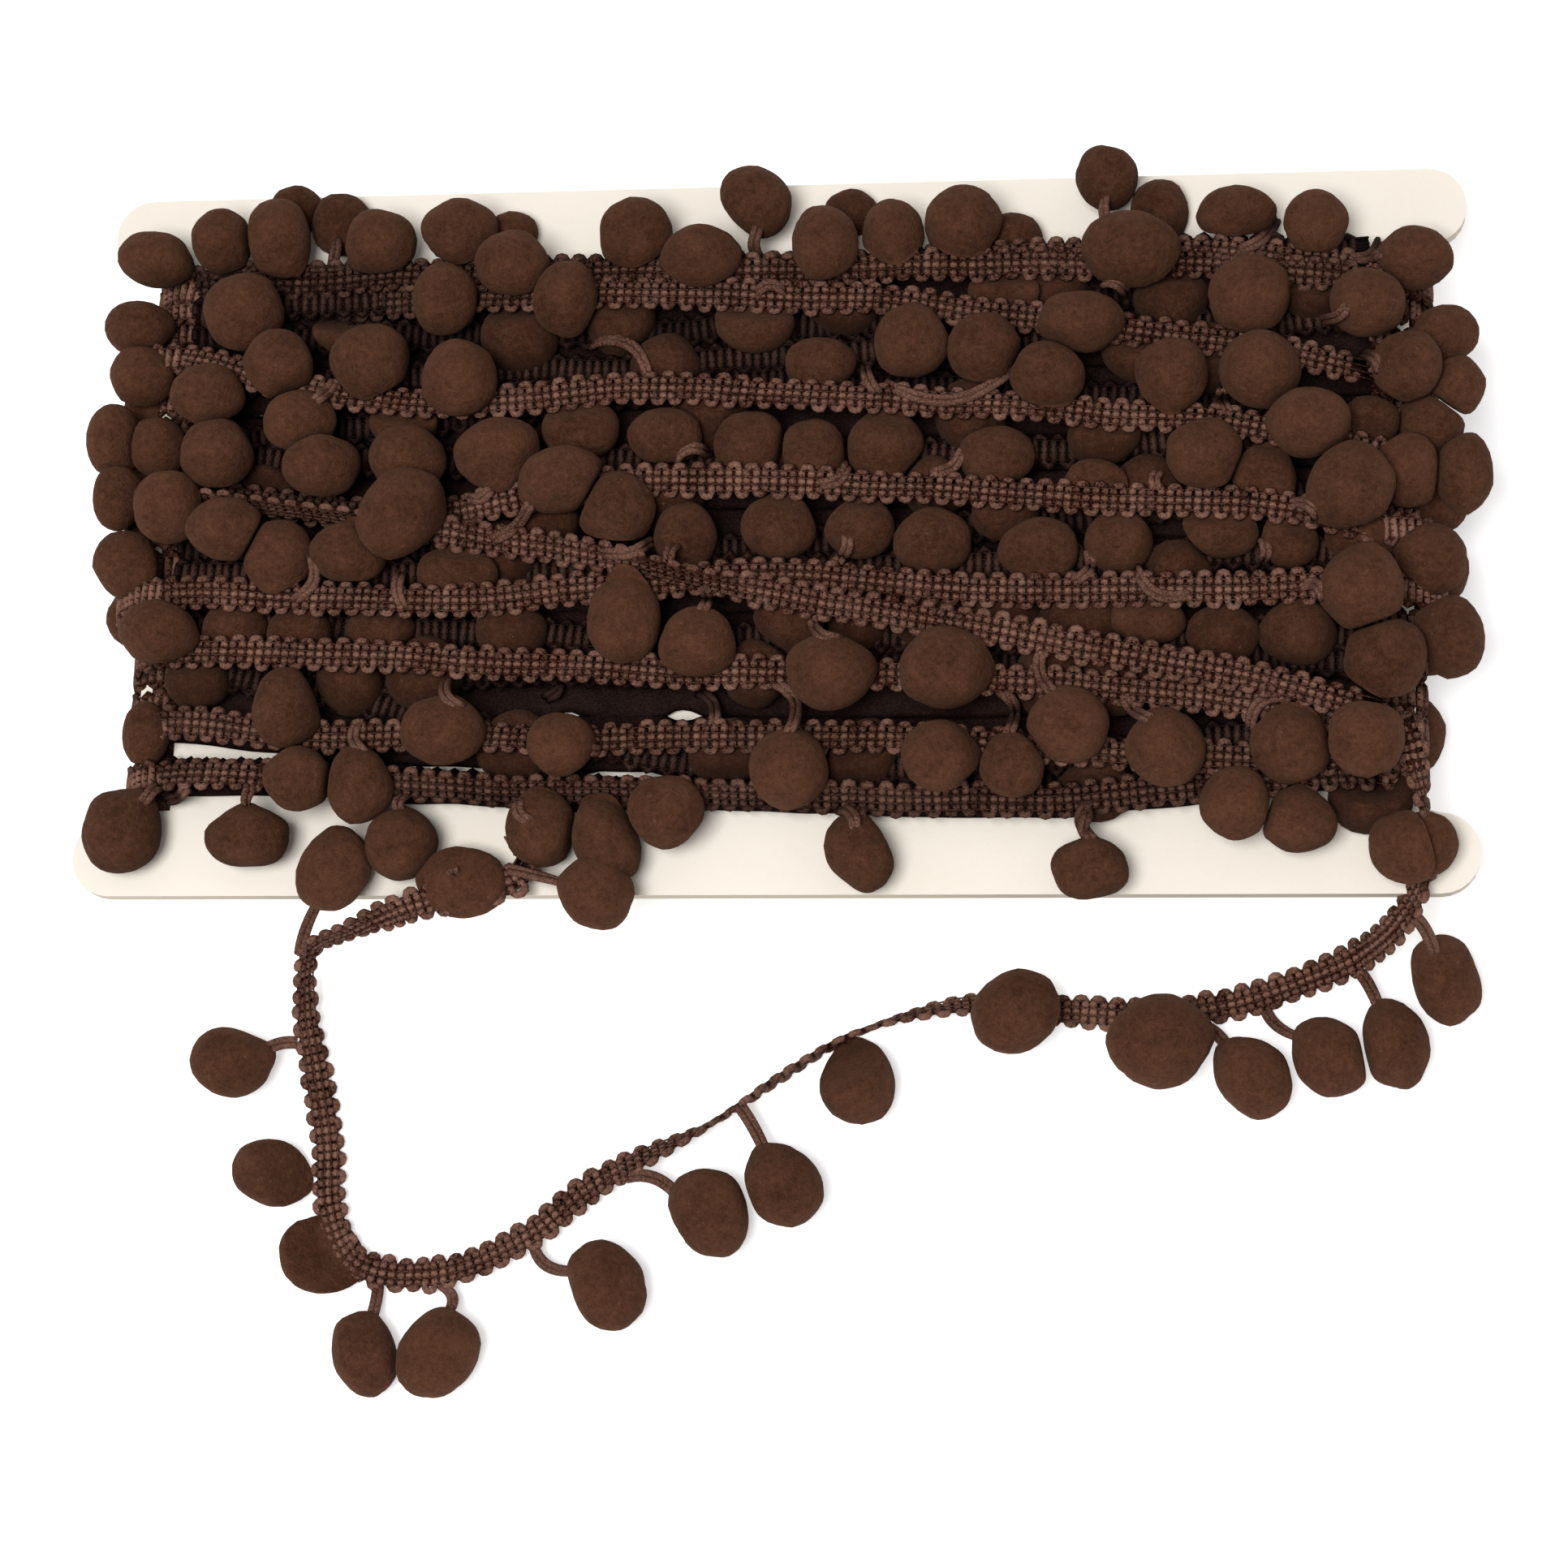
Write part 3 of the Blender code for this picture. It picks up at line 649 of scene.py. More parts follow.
# A low tone for the inner braid: painted shade.
INNER_PAINTED_SHADE_TONE = 0.26
InnerTurn = namedtuple("InnerTurn", "left middle right z")
INNER_TURNS = (
    InnerTurn(34, 38, 40, 20.2), InnerTurn(30, 30, 35, 19.6), InnerTurn(22, 25, 29, 20.4),
    InnerTurn(13, 21, 15, 19.8), InnerTurn(11, 9, 12, 20.6), InnerTurn(-3, -3.5, 4, 19.8),
    InnerTurn(-7, -7, -6, 20.8), InnerTurn(-15, -17, -17.5, 20.4), InnerTurn(-22.5, -21.5, -21, 19.8),
    InnerTurn(-21, -36, -31, 20.4), InnerTurn(-36.2, -39.4, -36.4, 19.0),
)


def inner_lie(left, middle, right, z, row):
    xs = np.arange(-END_X, END_X + 0.5, 2.0)
    ys = [smooth_through(x, (-88, 0, 88), (left, middle, right)) + 0.6 * rough(x / 12, row) for x in xs]
    ends = [max(abs(x) - END_DROP_FROM, 0) / 10 for x in xs]
    zs = [z - 0.9 * end**2 + 0.3 * rough(x / 9, row + 9) for x, end in zip(xs, ends)]
    places = np.stack([xs, ys, zs], 1) * MM
    rolls = [math.radians(10 * rough(x / 18, row + 30)) for x in xs]
    return Lie(places, np.tile((0.0, 0, 1), (len(xs), 1)), rolls)


inner_lies = [inner_lie(*turn, row + 80) for row, turn in enumerate(INNER_TURNS)]
inner_braid = Heap()
for row, lie in enumerate(inner_lies):
    gimp(inner_braid, lie, INNER_PAINTED_SHADE_TONE, PLAIN_QUARTER, 4, row + 50)
braid_inner = inner_braid.piece("braid_inner", YARN, INSIDE_PAINTED_SHADE_HEIGHTS)

# %% Where the close turns lie
CLOSE_Y = (-30.4, -25.4, -20.2, -15.0, -9.8, -4.6, 0.6, 5.8, 11.0, 16.2, 21.4, 26.6, 31.8, 37.0)
CLOSE_SLANT = 3.4
CLOSE_HALF_WIDTH = 2.82 * MM
HIDDEN_BY = 0.8
LEAST_PITCH = 2.3
PARTED_X = (-88, -80, -68, -62, 20, 26, 88)
PARTED_BY = (3.6, 2.6, 1.5, 0.7, 0.8, -0.6, -0.6)
PARTING_SPREAD = 12
Parting = namedtuple("Parting", "x y long wide")
PARTINGS = (Parting(-28.3, -26.8, 3.0, 3.0), Parting(-11.6, -26.9, 3.0, 3.0))


def close_rows():
    """The turns that lie on the card, from near to far. The first two follow the ninth turn."""
    xs = np.arange(-END_X, END_X + 0.5, 1.0)
    ninth = next(turn for turn in TURNS if turn.name == "ninth")
    first = np.array([braid_y(ninth, x) for x in xs]) + HIDDEN_BY
    second = first + LEAST_PITCH + np.interp(xs, PARTED_X, PARTED_BY) + CLOSE_HALF_WIDTH / MM
    rows = [first, second]
    for row, y in enumerate(CLOSE_Y):
        left = y + CLOSE_SLANT if row == 0 else y
        rows.append(np.array([smooth_through(x, (-88, 0, 88), (left, y, y)) for x in xs]))
    for spot in PARTINGS:
        near = np.exp(-((xs - spot.x) / spot.long) ** 4)
        for row, ys in enumerate(rows):
            beyond = np.abs(ys - spot.y)
            away = np.exp(-beyond / PARTING_SPREAD)
            rows[row] = ys + np.sign(ys - spot.y) * spot.wide / 2 * near * away
    return xs, rows


close_xs, close_ys = close_rows()
print(len(close_ys), "turns lie close on the card")

# %% Close turns
# Heights between which the painted shade of the close turns fades out.
CLOSE_PAINTED_SHADE_HEIGHTS = (16.2 * MM, 25.0 * MM)
CLOSE_Z = 17.0
CLOSE_BEND_Z = 13.9
CLOSE_BEND_OUT, CLOSE_BEND_HIGH = 6.8, 3.1
BEHIND_BY = 0.7
NARROWER = 0.45 * MM
WIDER = 1.5 * MM
# Low tones for the close turns, their bends and the strip behind them: painted shade.
CLOSE_PAINTED_SHADE_TONE, BEND_PAINTED_SHADE_TONE, BEHIND_PAINTED_SHADE_TONE = 0.2, 0.22, 0.1


def close_bend(side, y, inset=0.0):
    """Round one end of the card, tight against its notch."""
    angles = np.radians(np.arange(90, -91, -10))
    out = np.stack([side * np.cos(angles), np.zeros(len(angles)), np.sin(angles)], 1)
    middle = np.array((side * END_X, y, CLOSE_BEND_Z))
    return Lie((middle + out * (CLOSE_BEND_OUT - inset, 1, CLOSE_BEND_HIGH - inset)) * MM, out)


def add_strip(heap, lie, steps, half_width, half_height, tone):
    """A plain strip along a lie."""
    s = np.linspace(0, lie.length, steps)
    corners, faces = sweep(lie.at(s), lie.faces_at(s), half_width, half_height, 8)
    heap.add(corners, faces, tone)


close_braid, bend_heap = Heap(), Heap()
for row, ys in enumerate(close_ys):
    ys = ys + [0.25 * rough(x / 8, row) for x in close_xs]
    places = np.stack([close_xs, ys, np.full(len(close_xs), CLOSE_Z)], 1) * MM
    level = Lie(places, np.tile((0.0, 0, 1), (len(places), 1)))
    half_width = CLOSE_HALF_WIDTH - NARROWER * (row == 0)
    add_strip(close_braid, level, int(level.length / (2 * MM)), half_width, 0.5 * MM, CLOSE_PAINTED_SHADE_TONE)
    for side, y in ((-1, ys[0]), (1, ys[-1])):
        gimp(bend_heap, close_bend(side, y), BEND_PAINTED_SHADE_TONE, PLAIN_QUARTER, 4, row + 90)
        behind = close_bend(side, y, BEHIND_BY)
        add_strip(bend_heap, behind, 16, CLOSE_HALF_WIDTH + WIDER, 0.3 * MM, BEHIND_PAINTED_SHADE_TONE)
braid_close = close_braid.piece("braid_close", YARN, CLOSE_PAINTED_SHADE_HEIGHTS)
braid_bends = bend_heap.piece("braid_bends", YARN)

# %% [markdown]
# ## Pompoms
#
# A pompom is a ball of felted fibre. None is truly round: each is squeezed by its
# neighbours, drawn out a little where its stem is tied, and lumpy. A ball starts as an ico
# sphere, whose corners are evenly spread, so that it can be pressed anywhere without a seam.
# It is then stretched, lumped and drawn out, and at last pressed flat wherever it meets a
# neighbour, a braid that lies over it, the card or the table. The pressing is what makes a
# heap of balls look soft.

# %% One felt ball
POMPOM_RADIUS = 5.6 * MM


def ball_template(subdivisions):
    bpy.ops.object.select_all(action="DESELECT")
    bpy.ops.mesh.primitive_ico_sphere_add(subdivisions=subdivisions, radius=1)
    made = bpy.context.object
    corners = np.array([tuple(v.co) for v in made.data.vertices])
    faces = [tuple(p.vertices) for p in made.data.polygons]
    bpy.data.objects.remove(made, do_unlink=True)
    return unit(corners), faces


FINE_BALL = ball_template(4)
MEDIUM_BALL = ball_template(3)
Pompom = namedtuple("Pompom", "middle radius stretch tilt root seed")


def shaped_ball(pompom, template):
    """A lumpy ball, drawn out towards its root like a fig."""
    directions, faces = template
    pick = np.random.default_rng(pompom.seed)
    sizes = np.array((*pompom.stretch, 1.0)) * (1 + pick.uniform(-0.05, 0.05, 3))
    turned = np.array(Matrix.Rotation(math.radians(pompom.tilt), 3, "Z"))
    shaped = (directions * sizes) @ turned.T
    lumps = [1 + 0.09 * noise.noise(Vector(d) * 1.2 + Vector((pompom.seed * 3.1, 0, 0)))
             + 0.020 * noise.noise(Vector(d) * 3.4 + Vector((0, pompom.seed * 1.7, 0)))
             + 0.014 * noise.noise(Vector(d) * 9.5 + Vector((0, 0, pompom.seed * 1.3)))
             for d in directions]
    shaped = shaped * np.array(lumps)[:, None]
    if pompom.root is not None:
        towards = unit(np.asarray(pompom.root) - np.asarray(pompom.middle))
        near = np.clip(unit(shaped) @ towards, 0, 1)
        drawn = pick.uniform(0.0, 0.18) * near**5 + 0.08 * near**16
        shaped = shaped + towards * drawn[:, None]
    return np.asarray(pompom.middle) + shaped * pompom.radius, faces


print("faces of a ball:", [len(ball[1]) for ball in (FINE_BALL, MEDIUM_BALL)])

# %% [markdown]
# ## Where the pompoms lie
#
# Each pompom that shows was measured in the photograph, in millimetres: its middle, how wide
# and how tall it looks, and the tilt of its longer side, where it has one. The lists tell how
# it lies. Those `over` the braid are whole, those `under` it are pressed by it and painted
# darker, and the `deep` ones are painted dark: painted shade. The heap is lower towards the
# card's edges, as the two `LEVEL` lists say. A ball that lies higher or lower than where it
# was measured moves along the camera's sight.

# %% Measured pompoms
Spot = namedtuple("Spot", "x y wide tall tilt", defaults=(0,))
OVER = (
    (-90.6, 40.0, 11.1, 8.2, -8), (-72.3, 43.1, 9.3, 11.3), (-80.6, 42.7, 9.1, 9.6),
    (-56.8, 42.0, 11.1, 9.6), (-45.1, 43.3, 10.8, 9.6), (-37.3, 38.1, 10.4, 9.3),
    (-46.9, 32.9, 9.6, 10.8, 10), (-29.1, 32.5, 9.1, 10.8, -15), (-19.2, 42.3, 10.8, 10.4),
    (-9.3, 38.6, 11.1, 9.1), (-1.6, 47.0, 10.8, 9.6, -35), (8.5, 40.1, 10.0, 11.1),
    (18.2, 41.3, 9.1, 9.6), (28.3, 42.7, 10.8, 10.4), (21.0, 24.9, 10.4, 10.8),
    (31.4, 23.7, 10.4, 9.6, 20), (40.4, 19.6, 10.4, 10.0), (45.2, 27.5, 11.9, 8.9, -5),
    (48.7, 49.2, 9.3, 9.1), (52.2, 38.0, 14.2, 10.0, -5), (57.9, 19.0, 10.4, 10.4),
    (67.1, 43.3, 11.1, 7.0, 5), (78.3, 41.4, 9.3, 9.6), (68.9, 30.9, 11.3, 11.3),
    (70.3, 19.6, 11.6, 11.3), (85.3, 29.3, 11.1, 10.4), (92.2, 35.7, 10.2, 9.3, -10),
    (90.8, 19.6, 9.6, 10.4), (-76.8, 31.5, 11.3, 11.1), (-71.1, 23.4, 10.4, 9.6),
    (-57.4, 23.5, 11.9, 10.8, 20), (-81.5, 18.8, 10.4, 9.3), (-67.4, 14.2, 11.1, 8.9),
    (-44.1, 20.5, 11.1, 11.1), (-79.4, 9.7, 11.1, 10.0), (-64.0, 7.9, 11.3, 8.9),
    (-51.3, 8.3, 11.3, 9.6), (-38.3, 9.3, 12.3, 9.6, 20), (-28.9, 4.9, 12.5, 9.6, 15),
    (62.4, 7.2, 10.8, 10.0), (76.9, 11.7, 11.6, 9.6), (82.7, 2.3, 11.6, 11.9),
    (-86.2, 1.8, 9.6, 10.8, -15), (-77.2, -1.7, 11.1, 9.3), (-69.8, -5.5, 11.1, 10.2),
    (-59.1, -5.6, 10.8, 8.5), (-52.1, 0.4, 14.5, 11.1, 58), (-20.5, 0.4, 10.8, 10.8),
    (84.2, -12.7, 11.3, 12.5), (-86.7, -16.9, 11.1, 9.1), (-18.8, -16.1, 10.2, 11.9),
    (-8.3, -19.4, 10.4, 10.2), (87.1, -22.3, 11.3, 11.6), (-67.3, -28.4, 9.6, 11.1),
    (-44.3, -31.9, 11.9, 10.0), (-27.3, -34.0, 8.9, 8.9), (10.4, -23.8, 11.9, 11.1),
    (26.4, -23.5, 12.7, 11.3), (43.6, -31.8, 11.6, 10.4), (57.1, -35.0, 10.8, 10.4),
    (25.7, -35.9, 10.4, 10.4), (36.0, -37.4, 9.1, 8.9), (5.0, -37.7, 10.8, 10.8),
    (-89.8, -46.4, 11.6, 11.6), (-71.5, -47.3, 11.9, 8.5), (-64.6, -38.8, 10.2, 9.1),
    (-55.9, -39.8, 8.9, 10.8), (-49.5, -48.3, 10.4, 10.4), (-29.5, -46.3, 10.4, 10.0),
    (-20.5, -47.8, 12.3, 9.1, -58), (-12.1, -43.8, 10.8, 10.0), (15.0, -49.9, 11.6, 8.6, -55),
    (46.8, -52.1, 10.4, 8.9), (66.6, -43.0, 9.6, 10.2), (75.0, -45.6, 10.4, 8.5),
    (74.0, -34.8, 11.1, 11.3), (84.2, -34.0, 10.4, 10.0),
)
UNDER = (
    (34.5, 32.8, 10.2, 8.2), (-1.4, 28.5, 11.3, 8.2), (7.9, 22.3, 10.2, 8.2), (-62.0, 30.2, 9.6, 10.8),
    (-52.5, 14.0, 10.2, 6.8), (-26.3, 12.9, 11.1, 8.5), (-14.1, 11.7, 11.1, 8.2),
    (-1.8, 10.6, 10.2, 8.9), (7.2, 9.3, 10.2, 9.1), (17.4, 9.7, 11.1, 10.8), (33.3, 8.0, 10.8, 8.5),
    (47.3, 3.7, 9.6, 6.8), (70.7, 3.9, 9.1, 10.0), (-10.7, -3.4, 9.1, 10.0), (2.6, -2.2, 11.1, 9.1),
    (14.2, -2.6, 10.2, 9.1), (24.5, -4.6, 10.8, 9.1), (39.4, -6.0, 11.9, 9.1), (50.5, -5.0, 9.6, 8.5),
    (64.6, -3.7, 10.8, 7.4), (74.3, -5.4, 7.9, 7.4), (-43.3, -8.1, 11.9, 7.0), (54.7, -16.5, 10.4, 6.8),
    (47.4, -40.9, 10.8, 8.5), (84.9, -42.2, 11.3, 9.6),
)
DEEP_SPOTS = (
    (-70.9, 48.6, 8.5, 7.9), (-63.9, 46.4, 9.6, 9.6), (-38.2, 44.4, 7.4, 6.8),
    (-36.5, 28.3, 11.3, 10.8), (-21.6, 30.5, 9.6, 11.3), (11.6, 46.4, 7.9, 6.8), (34.8, 42.0, 9.1, 6.8),
    (56.1, 45.2, 8.5, 9.6), (48.3, 11.2, 10.2, 7.9), (85.8, 12.9, 9.1, 7.9), (-31.2, -0.2, 9.6, 7.9),
    (34.6, -0.0, 10.2, 7.9), (59.1, -7.8, 9.1, 7.9), (-76.3, -15.5, 9.6, 7.9), (-66.7, -16.0, 9.6, 7.9),
    (-54.7, -16.3, 9.6, 7.9), (-35.8, -16.5, 10.2, 7.9), (64.7, -18.3, 10.2, 8.5),
    (75.3, -17.8, 10.8, 9.6), (-81.2, -23.6, 9.1, 7.9),
)
AT_ENDS = (
    (-94.3, 31.6, 9.6, 8.5), (-93.4, 24.4, 9.6, 9.6), (-96.4, 13.9, 7.9, 11.3), (-90.8, 13.2, 8.5, 8.9),
    (-95.8, 5.5, 7.4, 10.2), (-93.9, -4.8, 9.6, 10.0), (96.5, 26.5, 9.1, 8.5), (94.3, 13.5, 9.6, 10.2),
    (97.5, 18.2, 7.9, 9.1), (91.4, 6.6, 9.6, 10.8), (98.1, 6.0, 8.5, 11.3), (84.5, -3.4, 10.2, 8.5),
    (94.0, -6.8, 9.1, 10.2), (96.5, -18.0, 9.1, 11.9), (-89.1, -30.6, 6.8, 10.2),
)
LEVEL_Y = (-52, -46, -39, -32, -20, 0, 20, 34, 42, 50)
LEVEL_Z = (21.4, 21.9, 23.0, 24.6, 26.2, 26.8, 26.4, 25.0, 23.2, 21.6)
BELOW = {"over": 0.0, "under": 3.2, "deep": 5.0, "end": 5.5}
MEASURED_AT = {"over": 26.0, "under": 24.5, "deep": 22.0, "end": 20.0}
print(len(OVER), "over the braid,", len(UNDER), "under it,", len(DEEP_SPOTS), "deep")

# %% Roots and heights
ROOT_AWAY = 5.2 * MM
ROOT_ACROSS = 1.6 * MM
DROP_FROM_X = 87
END_SLOPE = 3.4 / 8


def root_near(x, y):
    """The nearest place on a braid's edge that is at least half a ball away."""
    best, root = 1.0, None
    for lie in front_lies.values():
        away = np.hypot(lie.place[:, 0] - x, lie.place[:, 1] - y)
        away[away < ROOT_AWAY] = 1.0
        i = int(np.argmin(away))
        if away[i] < best:
            across = np.sign((np.array((x, y)) - lie.place[i, :2]) @ lie.side[i, :2])
            best, root = away[i], lie.place[i] + lie.side[i] * across * ROOT_ACROSS
    return root


def along_sight(place, z):
    """The place at another height that the camera sees at the same spot."""
    away = place - np.array(camera.location)
    return place + away * (z - place[2]) / away[2]


def pompom_at(spot, lies, seed):
    """A measured pompom at the height that its way of lying gives."""
    radius = (spot.wide + spot.tall) / 4 * MM
    z = (np.interp(spot.y, LEVEL_Y, LEVEL_Z) - BELOW[lies]) * MM
    if lies != "end":
        z -= END_SLOPE * MM * max(abs(spot.x) - DROP_FROM_X, 0)
    stretch = (spot.wide / 2 * MM / radius, spot.tall / 2 * MM / radius)
    middle = along_sight(np.array((spot.x, spot.y, MEASURED_AT[lies])) * MM, z)
    return Pompom(middle, radius, stretch, spot.tilt, root_near(*middle[:2]), seed)


def measured_pompoms():
    lists = (("over", OVER), ("under", UNDER), ("deep", DEEP_SPOTS), ("end", AT_ENDS))
    rows = [(Spot(*spot), lies) for lies, spots in lists for spot in spots]
    balls = [pompom_at(spot, lies, i) for i, (spot, lies) in enumerate(rows)]
    return balls, [lies for _, lies in rows]


on_top, way_of_lying = measured_pompoms()
print(len(on_top), "pompoms measured")

# %% [markdown]
# ## Balls that fill the gaps
#
# The pompoms of older turns show only as dark shapes between the others. A jittered lattice
# puts one wherever a gap is wide enough, but not where the photograph shows an empty place.
# Round the two ends the pompoms sit in files, and underneath they lie in rows, pressed flat
# by the weight of the card.

# %% Inner pompoms
INNER_Z = 20.0
LATTICE_ROWS, LATTICE_COLUMNS = 8, 18
LATTICE_X, LATTICE_Y = -83, -33
LATTICE_PITCH_X, LATTICE_PITCH_Y = 9.8, 9.6
CROWDED_WITHIN, EMPTY_WITHIN = 6.6 * MM, 6.5 * MM
LEFT_OUT = 0.2
INNER_SIZE = 0.92
EMPTY = np.array(((-42, -27), (-28.3, -26.7), (-19, -27), (-9, -27))) * MM


def plain_pompom(place, radius, root, seed):
    """A pompom that was not measured, with a stretch of its own."""
    pick = np.random.default_rng(seed + 9)
    stretch = (1 + pick.uniform(-0.1, 0.14), 1 + pick.uniform(-0.1, 0.14))
    return Pompom(place, radius, stretch, pick.uniform(0, 180), root, seed)


def inner_pompoms():
    """Low balls on a lattice, where no pompom on top stands close."""
    taken = np.array([p.middle[:2] for p in on_top])
    found = []
    for row in range(LATTICE_ROWS):
        for column in range(LATTICE_COLUMNS):
            seed = 5000 + row * 40 + column
            pick = np.random.default_rng(seed)
            along = column * LATTICE_PITCH_X + (row % 2) * LATTICE_PITCH_X / 2
            x = (LATTICE_X + along + pick.uniform(-1.5, 1.5)) * MM
            y = (LATTICE_Y + row * LATTICE_PITCH_Y + pick.uniform(-1.5, 1.5)) * MM
            crowded = np.hypot(taken[:, 0] - x, taken[:, 1] - y).min() < CROWDED_WITHIN
            empty = np.hypot(EMPTY[:, 0] - x, EMPTY[:, 1] - y).min() < EMPTY_WITHIN
            if crowded or empty or pick.uniform() < LEFT_OUT:
                continue
            place = np.array((x, y, (INNER_Z + pick.uniform(-0.5, 0.5)) * MM))
            found.append(plain_pompom(place, POMPOM_RADIUS * INNER_SIZE, None, seed))
    return found


inside = inner_pompoms()
print(len(inside), "pompoms in the gaps")

# %% Pompoms round the ends and underneath
END_FILE_X, END_FILE_OUT, END_FILE_HIGH = 85.5, 9.4, 9.2
TOO_CLOSE = 8.4 * MM
EndFile = namedtuple("EndFile", "side angle first pitch count")
END_FILES = (
    EndFile(-1, 8, -1, 10.2, 4), EndFile(-1, -32, -10, 10.4, 5), EndFile(-1, -68, -34, 10.6, 7),
    EndFile(1, 8, -16, 10.2, 5), EndFile(1, -32, -15, 10.4, 5), EndFile(1, -68, -27.6, 10.6, 6),
)
UNDER_ROWS, UNDER_COLUMNS = 7, 15
UNDER_PITCH_X, UNDER_PITCH_Y = 11.8, 12.0
UNDER_MIDDLE_Z = 4.7


def end_pompoms():
    """Files round the two ends, where no measured pompom lies already."""
    taken = np.array([ball.middle for ball in on_top])
    found = []
    for row, file in enumerate(END_FILES):
        for i in range(file.count):
            seed = 3000 + row * 20 + i
            pick = np.random.default_rng(seed)
            angle = math.radians(file.angle + pick.uniform(-9, 9))
            x = file.side * (END_FILE_X + END_FILE_OUT * math.cos(angle))
            z = END_MIDDLE_Z + END_FILE_HIGH * math.sin(angle)
            y = file.first + file.pitch * i + pick.uniform(-1.4, 1.4)
            place = np.array((x, y, max(z, UNDER_MIDDLE_Z))) * MM
            root = np.array((file.side * END_X, y + pick.uniform(-4, 4), z)) * MM
            if np.linalg.norm(taken - place, axis=1).min() > TOO_CLOSE:
                found.append(plain_pompom(place, POMPOM_RADIUS * pick.uniform(0.9, 1), root, seed))
    return found


def under_pompoms():
    """Staggered rows under the card."""
    found = []
    for row in range(UNDER_ROWS):
        for column in range(UNDER_COLUMNS):
            seed = 4000 + row * 20 + column
            pick = np.random.default_rng(seed)
            x = (column - (UNDER_COLUMNS - 1) / 2 + (row % 2) * 0.5 - 0.25) * UNDER_PITCH_X
            y = (row - (UNDER_ROWS - 1) / 2) * UNDER_PITCH_Y
            x, y = x + pick.uniform(-2, 2), y + pick.uniform(-1.5, 1.5)
            place = np.array((x, y, UNDER_MIDDLE_Z + pick.uniform(-0.3, 0.5))) * MM
            found.append(plain_pompom(place, POMPOM_RADIUS * pick.uniform(0.94, 1), None, seed))
    return found


at_ends, under = end_pompoms(), under_pompoms()
print(len(at_ends), "pompoms round the ends,", len(under), "underneath")

# %% [markdown]
# ## Settling and pressing
#
# Seen from above a ball's place is known, its height is not. So overlapping balls push each
# other apart for a few rounds, mostly up and down, as balls in a box would, and a measured
# one keeps to the line on which the camera sees it. What overlap is left becomes contact:
# each ball is pressed back to a plane between it and its neighbour, with a soft shoulder, and
# felt gives way the same under a braid, against the card and on the table. The dark ones on
# the card's far flange lie in the open, so they go with those at the ends, which get no
# painted shade by height; a lower tone paints their shade instead.

# %% Settling
CLOSENESS = 0.88
PUSH = (0.10, 0.10, 0.26)
BACK_IN_SIGHT = 0.2
BACK_HOME = 0.05
MAY_SINK = 1.4 * MM
UNDER_A_BALL = 4.6 * MM
ON_BRAID = 0.5


def highest_braid(x, y, within):
    """Height of the highest braid that passes within a distance of a place, or None."""
    found = []
    for lie in front_lies.values():
        away = np.hypot(lie.place[:, 0] - x, lie.place[:, 1] - y)
        i = int(np.argmin(away))
        if away[i] < within:
            found.append(lie.place[i, 2])
    return max(found, default=None)


def settled(balls, seen, rounds=50):
    """Pushes balls apart. The first ones, those seen, stay on the camera's line of sight."""
    home = np.array([ball.middle for ball in balls])
    away = home - np.array(camera.location)
    slopes = away[:, :2] / away[:, 2:] * (np.arange(len(balls)) < seen)[:, None]
    middles = home.copy()
    sizes = np.array([ball.radius for ball in balls])
    wanted = (sizes[:, None] + sizes[None]) * CLOSENESS * (1 - np.eye(len(balls)))
    for _ in range(rounds):
        gap = middles[:, None] - middles[None]
        far = np.linalg.norm(gap, axis=2) + np.eye(len(balls))
        overlap = np.clip(wanted - far, 0, None)
        push = (gap / far[..., None] * overlap[..., None]).sum(axis=1)
        middles = middles + push * PUSH
        in_sight = home[:, :2] + slopes * (middles[:, 2:] - home[:, 2:])
        middles[:, :2] += (in_sight - middles[:, :2]) * BACK_IN_SIGHT
        middles[:, 2] += (home[:, 2] - middles[:, 2]) * BACK_HOME
        middles[:, 2] = np.maximum(middles[:, 2], home[:, 2] - MAY_SINK)
    return [ball._replace(middle=middle) for ball, middle in zip(balls, middles)]


lifted = []
for ball, lies in zip(on_top, way_of_lying):
    braid_z = highest_braid(*ball.middle[:2], UNDER_A_BALL) if lies == "over" else None
    if braid_z is not None:
        z = max(ball.middle[2], braid_z + ball.radius * ON_BRAID)
        ball = ball._replace(middle=along_sight(ball.middle, z))
    lifted.append(ball)
wound_balls = settled(lifted + inside + at_ends, len(lifted))
ball_heights = [ball.middle[2] / MM for ball in wound_balls]
print("heights of the balls, mm:", round(min(ball_heights), 1), "to", round(max(ball_heights), 1))

# %% Pressing
CARD_TOP, CARD_BOTTOM = 16.3 * MM, 13.3 * MM
CARD_FAR_X, CARD_FAR_Y = 100.2 * MM, 53.7 * MM
NOTCH_FROM_X, NOTCH_TO_Y = 91.3 * MM, 41.6 * MM
CONTACT_GAP = 0.10 * MM
SHOULDER = 0.7 * MM
BRAID_REACH = 9 * MM
BRAID_LYING, BRAID_ON_EDGE = 0.55, 1.9
FLAT_LYING, FLAT_ON_EDGE = 2.1, 0.3
FELT_SLOPE = 1.5
TABLE_GAP = 0.05 * MM


def press_by_ball(corners, ball, other):
    """Keeps a ball clear of its neighbour."""
    between = other.middle - ball.middle
    distance = np.linalg.norm(between)
    cut = distance * ball.radius / (ball.radius + other.radius) - CONTACT_GAP
    beyond = np.clip((corners - ball.middle) @ (between / distance) - cut + SHOULDER, 0, None)
    pushed = beyond - SHOULDER * (1 - np.exp(-beyond / SHOULDER))
    return corners - pushed[:, None] * (between / distance)


